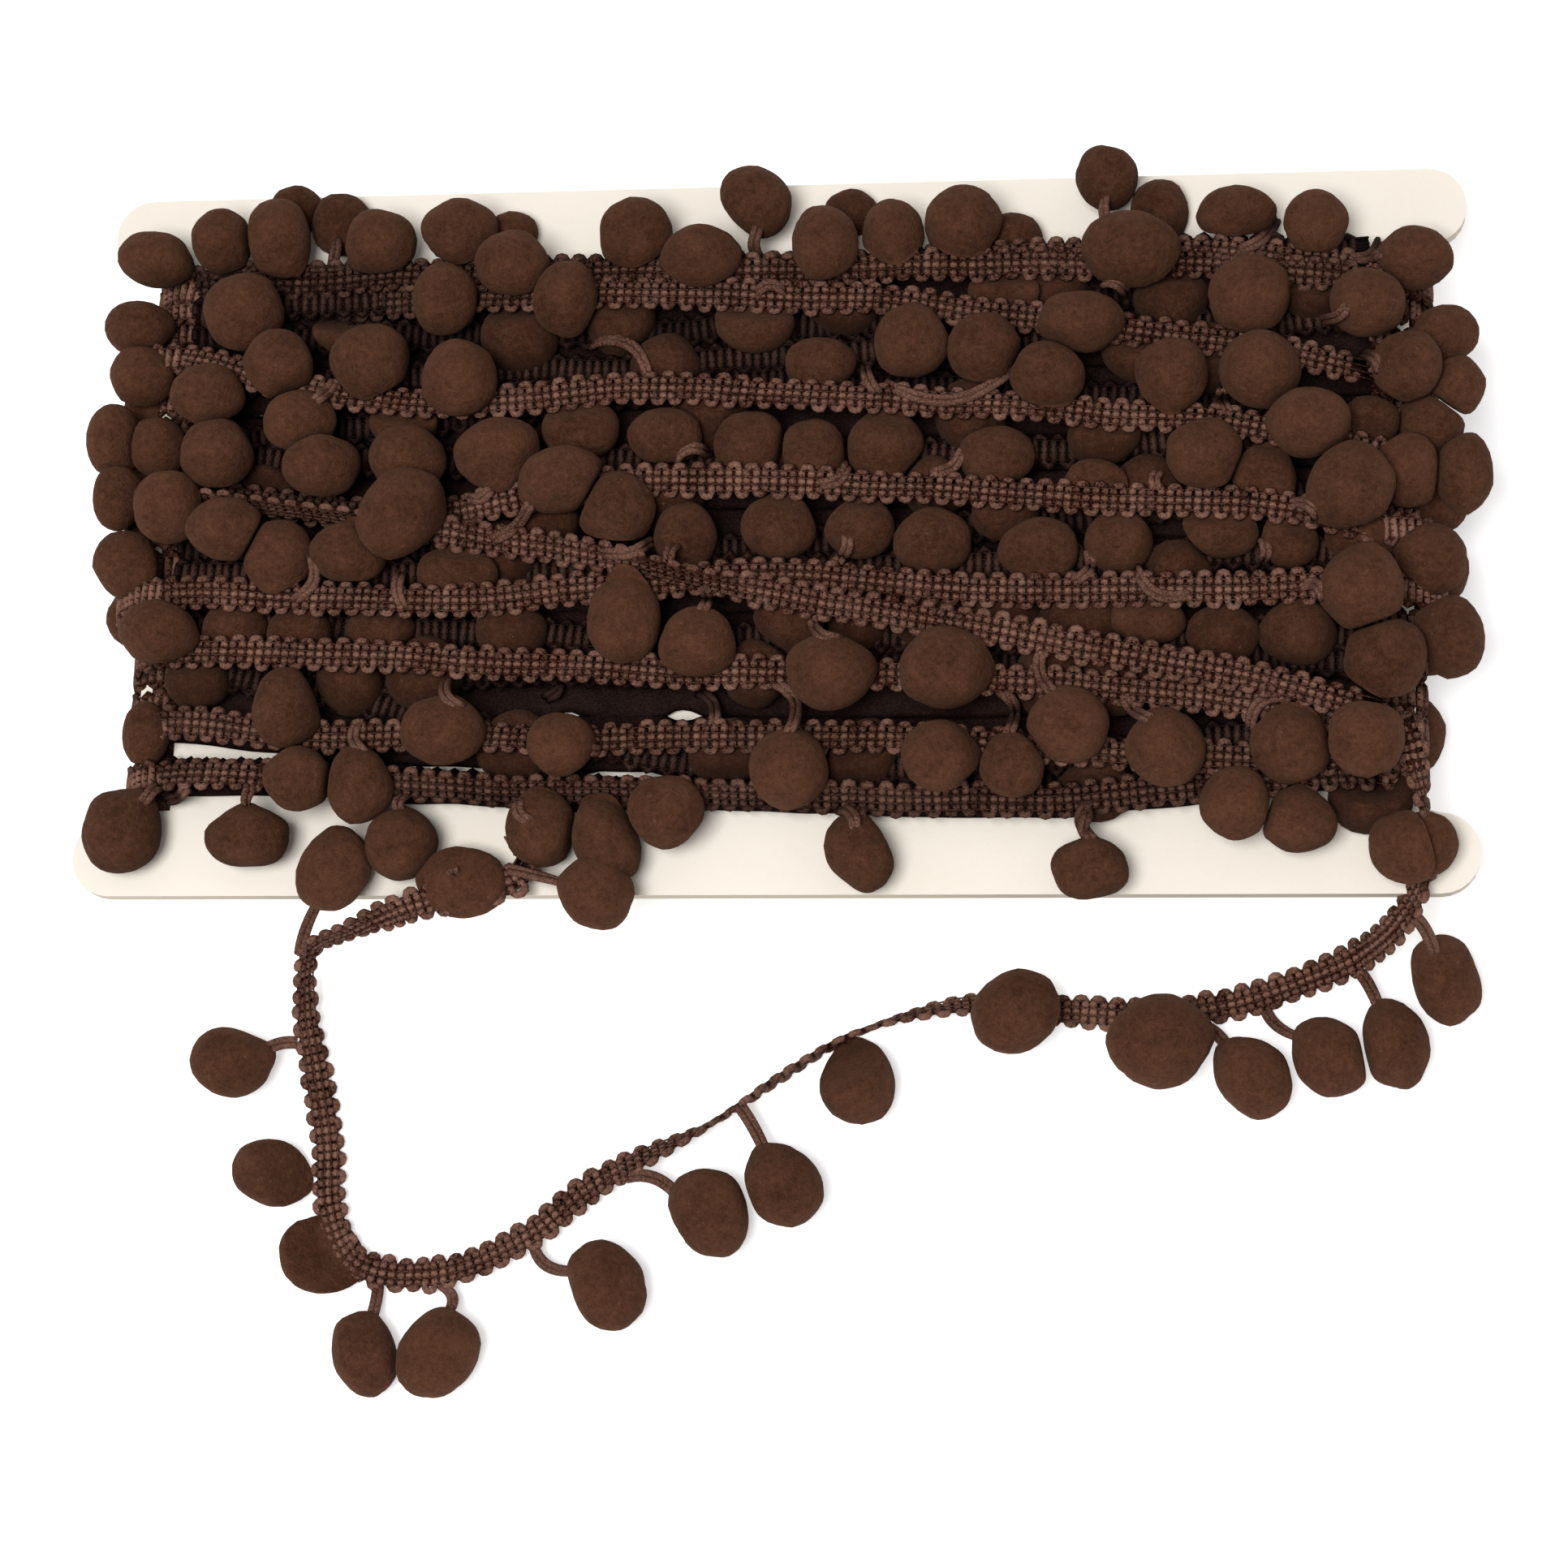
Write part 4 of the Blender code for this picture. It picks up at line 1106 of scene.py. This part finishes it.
def press_by_braid(corners, ball, lie, over):
    """Keeps a ball under a braid, or on it. A braid on its edge takes up more height."""
    near = np.hypot(*(lie.place[:, :2] - ball.middle[:2]).T) < BRAID_REACH
    if not near.any():
        return corners
    place, level = lie.place[near], np.abs(lie.face[near][:, 2])
    away = np.linalg.norm(corners[:, None, :2] - place[None, :, :2], axis=2)
    nearest = away.argmin(axis=1)
    away = away[np.arange(len(corners)), nearest]
    level, z = level[nearest], place[nearest, 2]
    half_height = (BRAID_LYING + BRAID_ON_EDGE * np.sqrt(np.clip(1 - level**2, 0, 1))) * MM
    slope = np.clip(away - (FLAT_LYING * level + FLAT_ON_EDGE) * MM, 0, None) * FELT_SLOPE
    pressed = corners.copy()
    if over:
        pressed[:, 2] = np.maximum(corners[:, 2], z + half_height - slope)
    else:
        pressed[:, 2] = np.minimum(corners[:, 2], z - half_height + slope)
    return pressed


def press_by_card(corners, ball):
    """Keeps a ball on or under the card, and on the table."""
    x, y = np.abs(corners[:, 0]), np.abs(corners[:, 1])
    notch = (x > NOTCH_FROM_X) & (y < NOTCH_TO_Y)
    on_card = (x < CARD_FAR_X) & (y < CARD_FAR_Y) & ~notch
    pressed = corners.copy()
    if ball.middle[2] > (CARD_TOP + CARD_BOTTOM) / 2:
        pressed[on_card, 2] = np.maximum(corners[on_card, 2], CARD_TOP)
    else:
        pressed[on_card, 2] = np.minimum(corners[on_card, 2], CARD_BOTTOM)
    pressed[:, 2] = np.maximum(pressed[:, 2], TABLE_GAP)
    return pressed


def pressed_ball(ball, others, lies, over, template):
    """A ball pressed by all that it touches."""
    corners, faces = shaped_ball(ball, template)
    for other in others:
        touching = np.linalg.norm(other.middle - ball.middle) < ball.radius + other.radius
        if other is not ball and touching:
            corners = press_by_ball(corners, ball, other)
    for lie in lies:
        corners = press_by_braid(corners, ball, lie, over)
    return press_by_card(corners, ball), faces


print("pressed balls stay", round(2 * CONTACT_GAP / MM, 1), "mm apart")

# %% Wound pompoms
def ball_tone(ball, middle=0.5):
    return middle + 0.22 * noise.noise(Vector((ball.seed * 0.73, 1.3, 0)))


top_heap, end_heap, under_heap = Heap(), Heap(), Heap()
ways = way_of_lying + ["deep"] * len(inside) + ["end"] * len(at_ends)
# Lower tones for balls under the braid and deep in the winding: painted shade.
BALL_TONES_AND_PAINTED_SHADE = {"over": 0.5, "under": 0.38, "deep": 0.2, "end": 0.45}
FAR_FLANGE_Y, FAR_FLANGE_PAINTED_SHADE_TONE = 42 * MM, 0.3
for ball, lies in zip(wound_balls, ways):
    on_far_flange = lies == "deep" and ball.middle[1] > FAR_FLANGE_Y
    heap = end_heap if lies == "end" or on_far_flange else top_heap
    braids = [] if lies == "end" else list(front_lies.values())
    template = FINE_BALL if lies == "over" else MEDIUM_BALL
    corners, faces = pressed_ball(ball, wound_balls, braids, lies == "over", template)
    heap.add(corners, faces, ball_tone(ball, FAR_FLANGE_PAINTED_SHADE_TONE if on_far_flange else BALL_TONES_AND_PAINTED_SHADE[lies]))
for ball in under:
    corners, faces = pressed_ball(ball, under, [], False, MEDIUM_BALL)
    under_heap.add(corners, faces, ball_tone(ball))
pompoms_top = top_heap.piece("pompoms_top", FELT, PAINTED_SHADE_HEIGHTS)
pompoms_ends = end_heap.piece("pompoms_ends", FELT)
pompoms_under = under_heap.piece("pompoms_under", FELT)

# %% [markdown]
# ## Stems
#
# A pompom hangs on a hairpin of yarn: it comes out of the braid's edge, runs through the
# ball's crown and goes back, so each stem is two yarns side by side. Pressed into a heap
# they curl up over the braid and the balls, and catch the light as pairs of short lines.

# %% Stem
STEM_RADIUS = 0.50 * MM
STEM_STEPS = 10
SHORTEST_STEM = 2.8 * MM
CROWN_AT = 0.84
YARN_APART = 0.44 * MM
WOUND_RISE, WOUND_CROWN_RISE, WOUND_STEM_TONE = 1.8 * MM, 0.30, 0.38


def bezier(a, b, c, d, steps):
    """Points of a curve from a to d, drawn towards b and c."""
    t = np.linspace(0, 1, steps + 1)[:, None]
    return (1 - t) ** 3 * a + 3 * (1 - t) ** 2 * t * b + 3 * (1 - t) * t**2 * c + t**3 * d


def add_stem(heap, root, ball, rise, crown_rise, tone, curl=None):
    """Two yarns that twist loosely, from the braid to the ball's crown, bowed by a curl."""
    pick = np.random.default_rng(ball.seed)
    towards = ball.middle - root
    level = unit(np.array((towards[0], towards[1], 0.0)))
    across = np.cross((0, 0, 1.0), level)
    crown = ball.middle - unit(towards) * ball.radius * CROWN_AT
    crown = crown + np.array((0, 0, ball.radius * crown_rise))
    span = np.linalg.norm(crown - root)
    if span < SHORTEST_STEM:
        return
    bows = pick.uniform(-0.34, 0.34, 2) * span if curl is None else (curl * 1.5, curl)
    first = root + (crown - root) * 0.33 + np.array((0, 0, rise)) + across * bows[0]
    second = crown - (crown - root) * 0.30 + np.array((0, 0, rise * 0.9)) + across * bows[1]
    line = bezier(root, first, second, crown, STEM_STEPS)
    ply = np.linspace(0, pick.uniform(-1.5, 1.5), STEM_STEPS + 1)[:, None] + pick.uniform(-0.4, 0.4)
    offset = (across * np.cos(ply) + np.array((0, 0, 1.0)) * np.sin(ply)) * YARN_APART
    for sign in (-1, 1):
        yarn = line + offset * sign
        up = np.tile((0.0, 0, 1), (len(yarn), 1)) + level * 0.2
        corners, faces = sweep(yarn, up, STEM_RADIUS, STEM_RADIUS, 6)
        heap.add(corners, faces, tone)


stem_heap = Heap()
for ball, lies in zip(wound_balls, ways):
    if ball.root is not None and lies != "end":
        add_stem(stem_heap, ball.root, ball, WOUND_RISE, WOUND_CROWN_RISE, WOUND_STEM_TONE)
stems_wound = stem_heap.piece("stems_wound", YARN, PAINTED_SHADE_HEIGHTS)

# %% [markdown]
# ## Hairpins that show
#
# Some stems don't lead straight to their ball: they curl up from under a braid and lie over
# its edge or over a neighbour. Their two ends were measured. A ray from the camera finds what
# each point of such a stem lies on, so it follows the heap like a real yarn.

# %% Draped hairpins
HAIRPINS = (
    (-65.5, 17.5, -62.6, 20.4), (-41.8, 2.3, -38.8, 3.7), (-38.4, -4.0, -33.0, 1.7),
    (-25.0, 25.4, -16.5, 19.6), (-1.3, 32.2, 2.8, 32.6), (15.2, 23.2, 16.5, 17.0),
    (35.4, 20.2, 17.7, 18.5), (24.4, 5.0, 28.6, 8.3), (8.3, 3.7, 12.3, 6.5), (-12.1, 7.8, -7.2, 8.0),
    (-22.2, -6.1, -14.9, -4.3), (11.0, -8.1, 12.5, -4.3), (28.6, -9.3, 30.3, -5.9),
    (50.2, 15.7, 52.1, 17.8), (66.0, 13.0, 65.2, 16.8), (67.4, 37.4, 72.7, 42.2),
    (82.9, 35.8, 87.1, 38.4), (78.7, 26.6, 82.5, 28.8), (84.2, 21.2, 86.8, 19.3),
    (48.4, 33.0, 51.9, 29.7), (74.4, -0.5, 77.9, -1.9), (55.8, 2.2, 56.2, 4.5),
    (-67.0, -12.7, -64.5, -6.1), (-50.6, -13.8, -49.9, -7.6), (-29.6, -27.3, -27.7, -25.2),
    (-43.7, -24.5, -41.8, -28.4), (-56.3, -30.9, -55.4, -35.0), (-83.6, -41.8, -80.7, -39.9),
    (-7.9, -11.4, -8.0, -15.0), (8.0, -15.8, 11.6, -19.1), (-7.8, -26.8, -5.9, -32.0),
    (2.7, -25.5, 4.6, -33.1), (40.0, -21.2, 41.7, -27.3), (34.3, -27.0, 35.2, -33.3),
    (44.3, -11.2, 46.3, -6.9), (53.0, -9.3, 60.9, -13.1), (69.6, -9.8, 70.5, -5.5),
    (51.4, -27.7, 55.3, -31.1), (68.6, -32.5, 73.0, -28.1), (75.9, -12.3, 78.6, -13.7),
    (46.7, -42.6, 47.4, -48.3), (12.5, -43.6, 14.4, -46.5), (-32.6, -42.2, -31.1, -45.1),
)
HAIRPINS_MEASURED_AT = 27 * MM
HAIRPINS_LOWEST = 19 * MM
HAIRPIN_LIFT = 0.30 * MM
HAIRPIN_TUCK = 1.3 * MM
HAIRPIN_SAG = 0.4 * MM
HAIRPIN_TONE = 0.42


def top_surface():
    """The braids and pompoms on top, ready to be struck by a ray."""
    corners, faces = [], []
    for piece in (braid_top, pompoms_top):
        faces += [tuple(i + len(corners) for i in p.vertices) for p in piece.data.polygons]
        corners += [v.co.copy() for v in piece.data.vertices]
    return BVHTree.FromPolygons(corners, faces)


def struck_by_sight(surface, place):
    """What the camera sees at a place, or the place moved down where it sees nothing near."""
    away = Vector(place) - camera.location
    struck = surface.ray_cast(camera.location, away.normalized())[0]
    if struck and struck.z > HAIRPINS_LOWEST:
        return np.array(struck)
    return along_sight(place, HAIRPINS_LOWEST)


def draped(surface, line, lift):
    """The line laid on what the camera sees at its places, and smoothed."""
    laid = np.array([struck_by_sight(surface, np.array((x, y, HAIRPINS_MEASURED_AT))) for x, y in line])
    wide = np.pad(laid[:, 2], 1, mode="edge")
    heights = np.maximum.reduce([wide[:-2], wide[1:-1], wide[2:]])
    wide = np.pad(heights, 2, mode="edge")
    smooth = sum(wide[i:i + len(heights)] for i in range(5)) / 5
    z = np.maximum(smooth, heights - HAIRPIN_SAG) + lift
    return np.array([along_sight(place, height) for place, height in zip(laid, z)])


surface = top_surface()
hairpin_heap = Heap()
for i, (x0, y0, x1, y1) in enumerate(HAIRPINS):
    pick = np.random.default_rng(700 + i)
    start, end = np.array((x0, y0)) * MM, np.array((x1, y1)) * MM
    across = unit(np.array((y0 - y1, x1 - x0), dtype=float))
    bulge = pick.choice((-1, 1)) * np.linalg.norm(end - start) * pick.uniform(0.15, 0.3)
    t = np.linspace(0, 1, 11)
    line = start + (end - start) * t[:, None] + across * (bulge * 4 * t * (1 - t))[:, None]
    middle = draped(surface, line, HAIRPIN_LIFT)
    middle[:, 2] -= HAIRPIN_TUCK * (np.abs(2 * t - 1) ** 6)
    side = np.append(across, 0.0)
    for sign in (-1, 1):
        yarn = middle + side * sign * YARN_APART
        up = np.tile((0.0, 0, 1), (len(yarn), 1))
        corners, faces = sweep(yarn, up, STEM_RADIUS, STEM_RADIUS, 6)
        hairpin_heap.add(corners, faces, HAIRPIN_TONE)
hairpins = hairpin_heap.piece("hairpins", YARN, PAINTED_SHADE_HEIGHTS)

# %% [markdown]
# ## The loose end
#
# The last stretch has slipped off the card. Its centreline is a short table: the place, how
# far the lower edge is lifted off the table, and how far the braid is rolled, because a
# ribbon laid in a curve stands up on its edge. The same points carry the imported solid. A
# second list says how far the fine braid drifts from that route, a millimetre or two, towards
# the side without pompoms.

# %% Route of the loose end
RoutePoint = namedtuple("RoutePoint", "x y lift roll")
ROUTE = (
    RoutePoint(89.2, -31.2, 24.4, 178), RoutePoint(92.5, -35.5, 21.5, 150),
    RoutePoint(94.2, -41.5, 18.6, 110), RoutePoint(94.4, -47.5, 17.0, 80),
    RoutePoint(92.8, -53.0, 16.4, 50), RoutePoint(89.0, -58.0, 11.0, 25),
    RoutePoint(84.0, -61.5, 3.5, 5), RoutePoint(76.0, -64.5, 0.0, 0),
    RoutePoint(66.0, -67.0, 0.0, 0), RoutePoint(54.0, -67.8, 0.3, 5),
    RoutePoint(43.0, -67.2, 0.2, 10), RoutePoint(32.0, -67.0, 0.0, 35),
    RoutePoint(22.0, -68.8, 0.0, 65), RoutePoint(12.0, -72.2, 0.0, 85),
    RoutePoint(2.5, -78.0, 0.0, 90), RoutePoint(-7.0, -84.5, 0.0, 80),
    RoutePoint(-17.0, -88.6, 0.0, 45), RoutePoint(-26.0, -93.2, 0.0, 12),
    RoutePoint(-34.0, -99.6, 0.0, 20), RoutePoint(-43.0, -105.0, 0.0, 20),
    RoutePoint(-52.0, -106.6, 0.0, 0), RoutePoint(-59.5, -104.0, 0.0, -20),
    RoutePoint(-63.4, -96.5, 0.0, -10), RoutePoint(-64.6, -86.5, 0.0, 0),
    RoutePoint(-66.8, -76.0, 0.0, 35), RoutePoint(-68.3, -67.0, 2.0, 60),
    RoutePoint(-66.5, -59.5, 7.0, 85), RoutePoint(-58.5, -57.2, 12.5, 80),
    RoutePoint(-50.0, -55.8, 18.0, 40), RoutePoint(-41.5, -54.2, 20.4, 5),
    RoutePoint(-34.5, -52.2, 19.2, 0), RoutePoint(-32.4, -48.0, 17.4, 0),
)
ROUTE_STEPS = 6
ON_EDGE_Z, LYING_Z = 2.5, 0.7


def route_lie():
    """The route as a smooth lie, with a ribbon on its edge standing higher than one lying."""
    ends = (ROUTE[0],) + ROUTE + (ROUTE[-1],)
    rows = np.array([tuple(point) for point in ends], dtype=float)
    found = []
    for a, b, c, d in zip(rows, rows[1:], rows[2:], rows[3:]):
        for t in np.arange(ROUTE_STEPS) / ROUTE_STEPS:
            bend = 2 * a - 5 * b + 4 * c - d
            smooth = 0.5 * (2 * b + (c - a) * t + bend * t**2 + (3 * b - a - 3 * c + d) * t**3)
            found.append((*smooth[:2], *(b[2:] + (c[2:] - b[2:]) * t)))
    found.append(tuple(rows[-1]))
    x, y, lift, roll = np.array(found).T
    tilt = np.radians(roll)
    z = lift + ON_EDGE_Z * np.abs(np.sin(tilt)) + LYING_Z * np.abs(np.cos(tilt))
    return Lie(np.stack([x, y, z], 1) * MM, np.tile((0.0, 0, 1), (len(x), 1)), tilt)


Drift = namedtuple("Drift", "s by")
DRIFTS = (
    Drift(0, 0.0), Drift(6, 2.0), Drift(12, 2.2), Drift(18, 1.5), Drift(26, 0.9), Drift(34, 0.8),
    Drift(42, 1.4), Drift(52, 1.6), Drift(62, 0.9), Drift(72, 0.0), Drift(92, -0.3),
    Drift(102, 0.8), Drift(140, 0.8), Drift(150, 0.0), Drift(170, -0.6), Drift(182, 0.3),
    Drift(190, 0.9), Drift(202, 0.5), Drift(240, 0.8), Drift(258, 0.9), Drift(275, 0.0),
)


def drifted(lie):
    """The same lie, where the braid lies a little beside its route."""
    stations, amounts = zip(*DRIFTS)
    forward = np.gradient(lie.place, axis=0)
    aside = unit(np.cross(forward, (0, 0, 1.0)))
    by = np.interp(lie.run / MM, stations, amounts)[:, None] * MM
    return Lie(lie.place + aside * by, lie.face)


LOOSE_TONE = 0.42
loose_lie = drifted(route_lie())
loose_heap = Heap()
gimp(loose_heap, loose_lie, LOOSE_TONE, FINE_QUARTER, 6, 77)
print("loose end, mm:", round(loose_lie.length / MM))

# %% Cut end
FRAY_COUNT = 16
FRAY_RADIUS = 0.16 * MM
FRAY_TONE = 0.6


def frayed_end(heap, lie):
    """Yarn ends that spread where the braid was cut."""
    pick = np.random.default_rng(31)
    for _ in range(FRAY_COUNT):
        v = pick.uniform(-2.2, 2.2) * MM
        start = lie.at(lie.length - 1.0 * MM, v)[0]
        forward = unit(lie.at(lie.length)[0] - lie.at(lie.length - 2 * MM)[0])
        side = lie.at(lie.length, 1.0)[0] - lie.at(lie.length)[0]
        out = forward * pick.uniform(2.0, 4.6) * MM + side * (v * 0.7 + pick.uniform(-1, 1) * MM)
        droop = np.array((0, 0, pick.uniform(-1.2, 1.6))) * MM
        bend, tip = start + out * 0.7 + droop, start + out + droop * 1.2
        line = bezier(start, start + out * 0.35, bend, tip, 5)
        corners, faces = sweep(line, np.tile((0.0, 0, 1), (6, 1)), FRAY_RADIUS, FRAY_RADIUS, 4)
        heap.add(corners, faces, FRAY_TONE)


frayed_end(loose_heap, loose_lie)
braid_loose = loose_heap.piece("braid_loose", YARN)

# %% Loose pompoms
LIES_ON_CARD = 10
LOOSE_ROOT_ACROSS = 2.0 * MM
RESTS_AT = 0.97
LOOSE_RISE, LOOSE_CROWN_RISE = 0.5 * MM, 0.05
LOOSE_STEM_TONE, LOOSE_BALL_TONE = 0.4, 0.55
LoosePompom = namedtuple(
    "LoosePompom", "root_x root_y curl x y lift height long short tilt over")
LOOSE_POMPOMS = (
    LoosePompom(94.0, -46.6, 0, 92.4, -47.4, 16.6, 0.9, 8.4, 8.2, 0, 0),
    LoosePompom(93.8, -49.0, 0, 89.6, -48.3, 16.6, 1.0, 10.2, 9.6, 120, 0),
    LoosePompom(90.5, -55.5, 0.4, 95.5, -63.3, 0, 0.92, 12.8, 9.5, 107, 0),
    LoosePompom(83.7, -61.8, 0.3, 88.5, -72.8, 0, 0.92, 12.5, 9.4, 99, 0),
    LoosePompom(70.6, -67.5, -1.0, 79.4, -74.5, 0, 0.92, 12.0, 10.6, 127, 0),
    LoosePompom(61.0, -67.4, 0.6, 68.8, -77.3, 0, 0.92, 12.3, 10.4, 130, 0),
    LoosePompom(54.0, -67.8, 0, 56.0, -72.6, 1.8, 0.94, 14.6, 12.4, 19, 1),
    LoosePompom(36.0, -67.0, 0, 35.7, -68.8, 3.2, 0.94, 12.5, 11.6, 31, 1),
    LoosePompom(10.9, -71.6, 0.3, 13.2, -78.1, 0, 0.92, 12.9, 11.0, 98, 0),
    LoosePompom(-3.4, -82.2, 0.3, 3.2, -93.2, 0, 0.92, 12.2, 10.6, 136, 0),
    LoosePompom(-19.4, -91.1, 1.4, -7.0, -97.0, 0, 0.92, 12.8, 10.3, 114, 0),
    LoosePompom(-33.1, -101.0, -1.6, -21.6, -107.2, 0, 0.92, 12.6, 10.3, 123, 0),
    LoosePompom(-45.7, -106.7, 1.8, -45.4, -117.1, 0, 0.92, 12.9, 11.0, 55, 0),
    LoosePompom(-55.3, -107.0, 0.3, -56.1, -117.3, 0, 0.92, 12.2, 8.9, 109, 0),
    LoosePompom(-64.0, -97.7, 1.0, -63.6, -103.2, 0, 0.62, 11.8, 10.2, 159, 0),
    LoosePompom(-65.1, -90.7, 0.3, -71.2, -91.6, 0, 0.92, 10.8, 9.3, 158, 0),
    LoosePompom(-67.4, -72.3, -0.6, -78.0, -75.7, 0, 0.92, 11.6, 9.9, 159, 0),
    LoosePompom(-66.4, -59.5, 0.5, -59.9, -51.0, 16.6, 0.95, 12.0, 10.0, 69, 0),
    LoosePompom(-41.5, -54.2, 0, -41.8, -52.4, 16.6, 0.58, 13.2, 10.8, 179, 0),
    LoosePompom(-34.2, -51.8, 0, -22.0, -54.3, 16.6, 1.0, 11.2, 10.4, 122, 0),
)


def loose_ball(row, seed):
    """A measured pompom of the loose end, resting on the table, the card or the braid."""
    radius = (row.long + row.short) / 4 * MM
    z = row.lift * MM + radius * row.height * RESTS_AT
    s = loose_lie.nearest(row.root_x * MM, row.root_y * MM)
    root = loose_lie.at(s, LOOSE_ROOT_ACROSS)[0]
    stretch = (row.long / 2 * MM / radius, row.short / 2 * MM / radius)
    return Pompom(np.array((row.x * MM, row.y * MM, z)), radius, stretch, row.tilt, root, seed)


loose = [loose_ball(row, 6000 + i) for i, row in enumerate(LOOSE_POMPOMS)]
loose_ball_heap, loose_stem_heap = Heap(), Heap()
for ball, row in zip(loose, LOOSE_POMPOMS):
    braids = [loose_lie] if row.lift < LIES_ON_CARD else []
    corners, faces = pressed_ball(ball, loose, braids, row.over == 1, FINE_BALL)
    corners[:, 2] = ball.middle[2] + (corners[:, 2] - ball.middle[2]) * row.height
    loose_ball_heap.add(corners, faces, ball_tone(ball, LOOSE_BALL_TONE))
    add_stem(loose_stem_heap, ball.root, ball, LOOSE_RISE, LOOSE_CROWN_RISE, LOOSE_STEM_TONE,
             row.curl * MM)
pompoms_loose = loose_ball_heap.piece("pompoms_loose", FELT)
stems_loose = loose_stem_heap.piece("stems_loose", YARN)

# %% [markdown]
# ## What each piece is
#
# Every piece is attached to the body it moves with, and the imported solids that the pieces
# stand for are hidden. The loose end and its pompoms go with the same body.

# %% Bodies and hidden solids
wound_pieces = (
    braid_top, braid_under, braid_inner, braid_close, braid_bends,
    pompoms_top, pompoms_ends, pompoms_under, stems_wound, hairpins)
loose_pieces = (braid_loose, pompoms_loose, stems_loose)
for piece in wound_pieces + loose_pieces:
    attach(piece, "root")
for piece in wound_pieces:
    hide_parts("wound_trim")
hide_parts("loose_end")
print(len(wound_pieces) + len(loose_pieces), "pieces beside the card")

# %% [markdown]
# ## Floor and light
#
# The photograph is a product picture on pure white, with hardly a shadow. So the floor is
# white and glows a little, the world gives even light from all sides, and one large soft lamp
# hangs high over the near left, to shape the balls.

# %% Floor, light and colour
FLOOR_GLOW = 0.42
WORLD_LIGHT = 0.38
LAMP_PLACE = (-0.12, -0.28, 1.08)
LAMP_SIZE = 0.45
LAMP_POWER = 10

bpy.ops.object.select_all(action="DESELECT")
bpy.ops.mesh.primitive_plane_add(size=4, location=(0, 0, -0.0001))
floor = bpy.context.object
floor.name = "studio_floor"
floor_finish = Finish("floor_white", Roughness=0.9, Specular_IOR_Level=0.1,
                      Emission_Strength=FLOOR_GLOW, Emission_Color=(1, 1, 1, 1))
floor.data.materials.append(floor_finish.feed(Base_Color=(0.95, 0.95, 0.95, 1)))

world = bpy.data.worlds.new("studio")
world.use_nodes = True
world.node_tree.nodes["Background"].inputs["Color"].default_value = (1, 1, 1, 1)
world.node_tree.nodes["Background"].inputs["Strength"].default_value = WORLD_LIGHT
bpy.context.scene.world = world


def add_softbox(name, place, size, power):
    bpy.ops.object.light_add(type="AREA", location=place)
    lamp = bpy.context.object
    lamp.name = name
    lamp.data.size = size
    lamp.data.energy = power
    lamp.rotation_euler = (-Vector(place)).to_track_quat("-Z", "Y").to_euler()
    return lamp


add_softbox("key_softbox", LAMP_PLACE, LAMP_SIZE, LAMP_POWER)
bpy.context.scene.view_settings.view_transform = "Standard"
print("floor, world and one soft lamp")
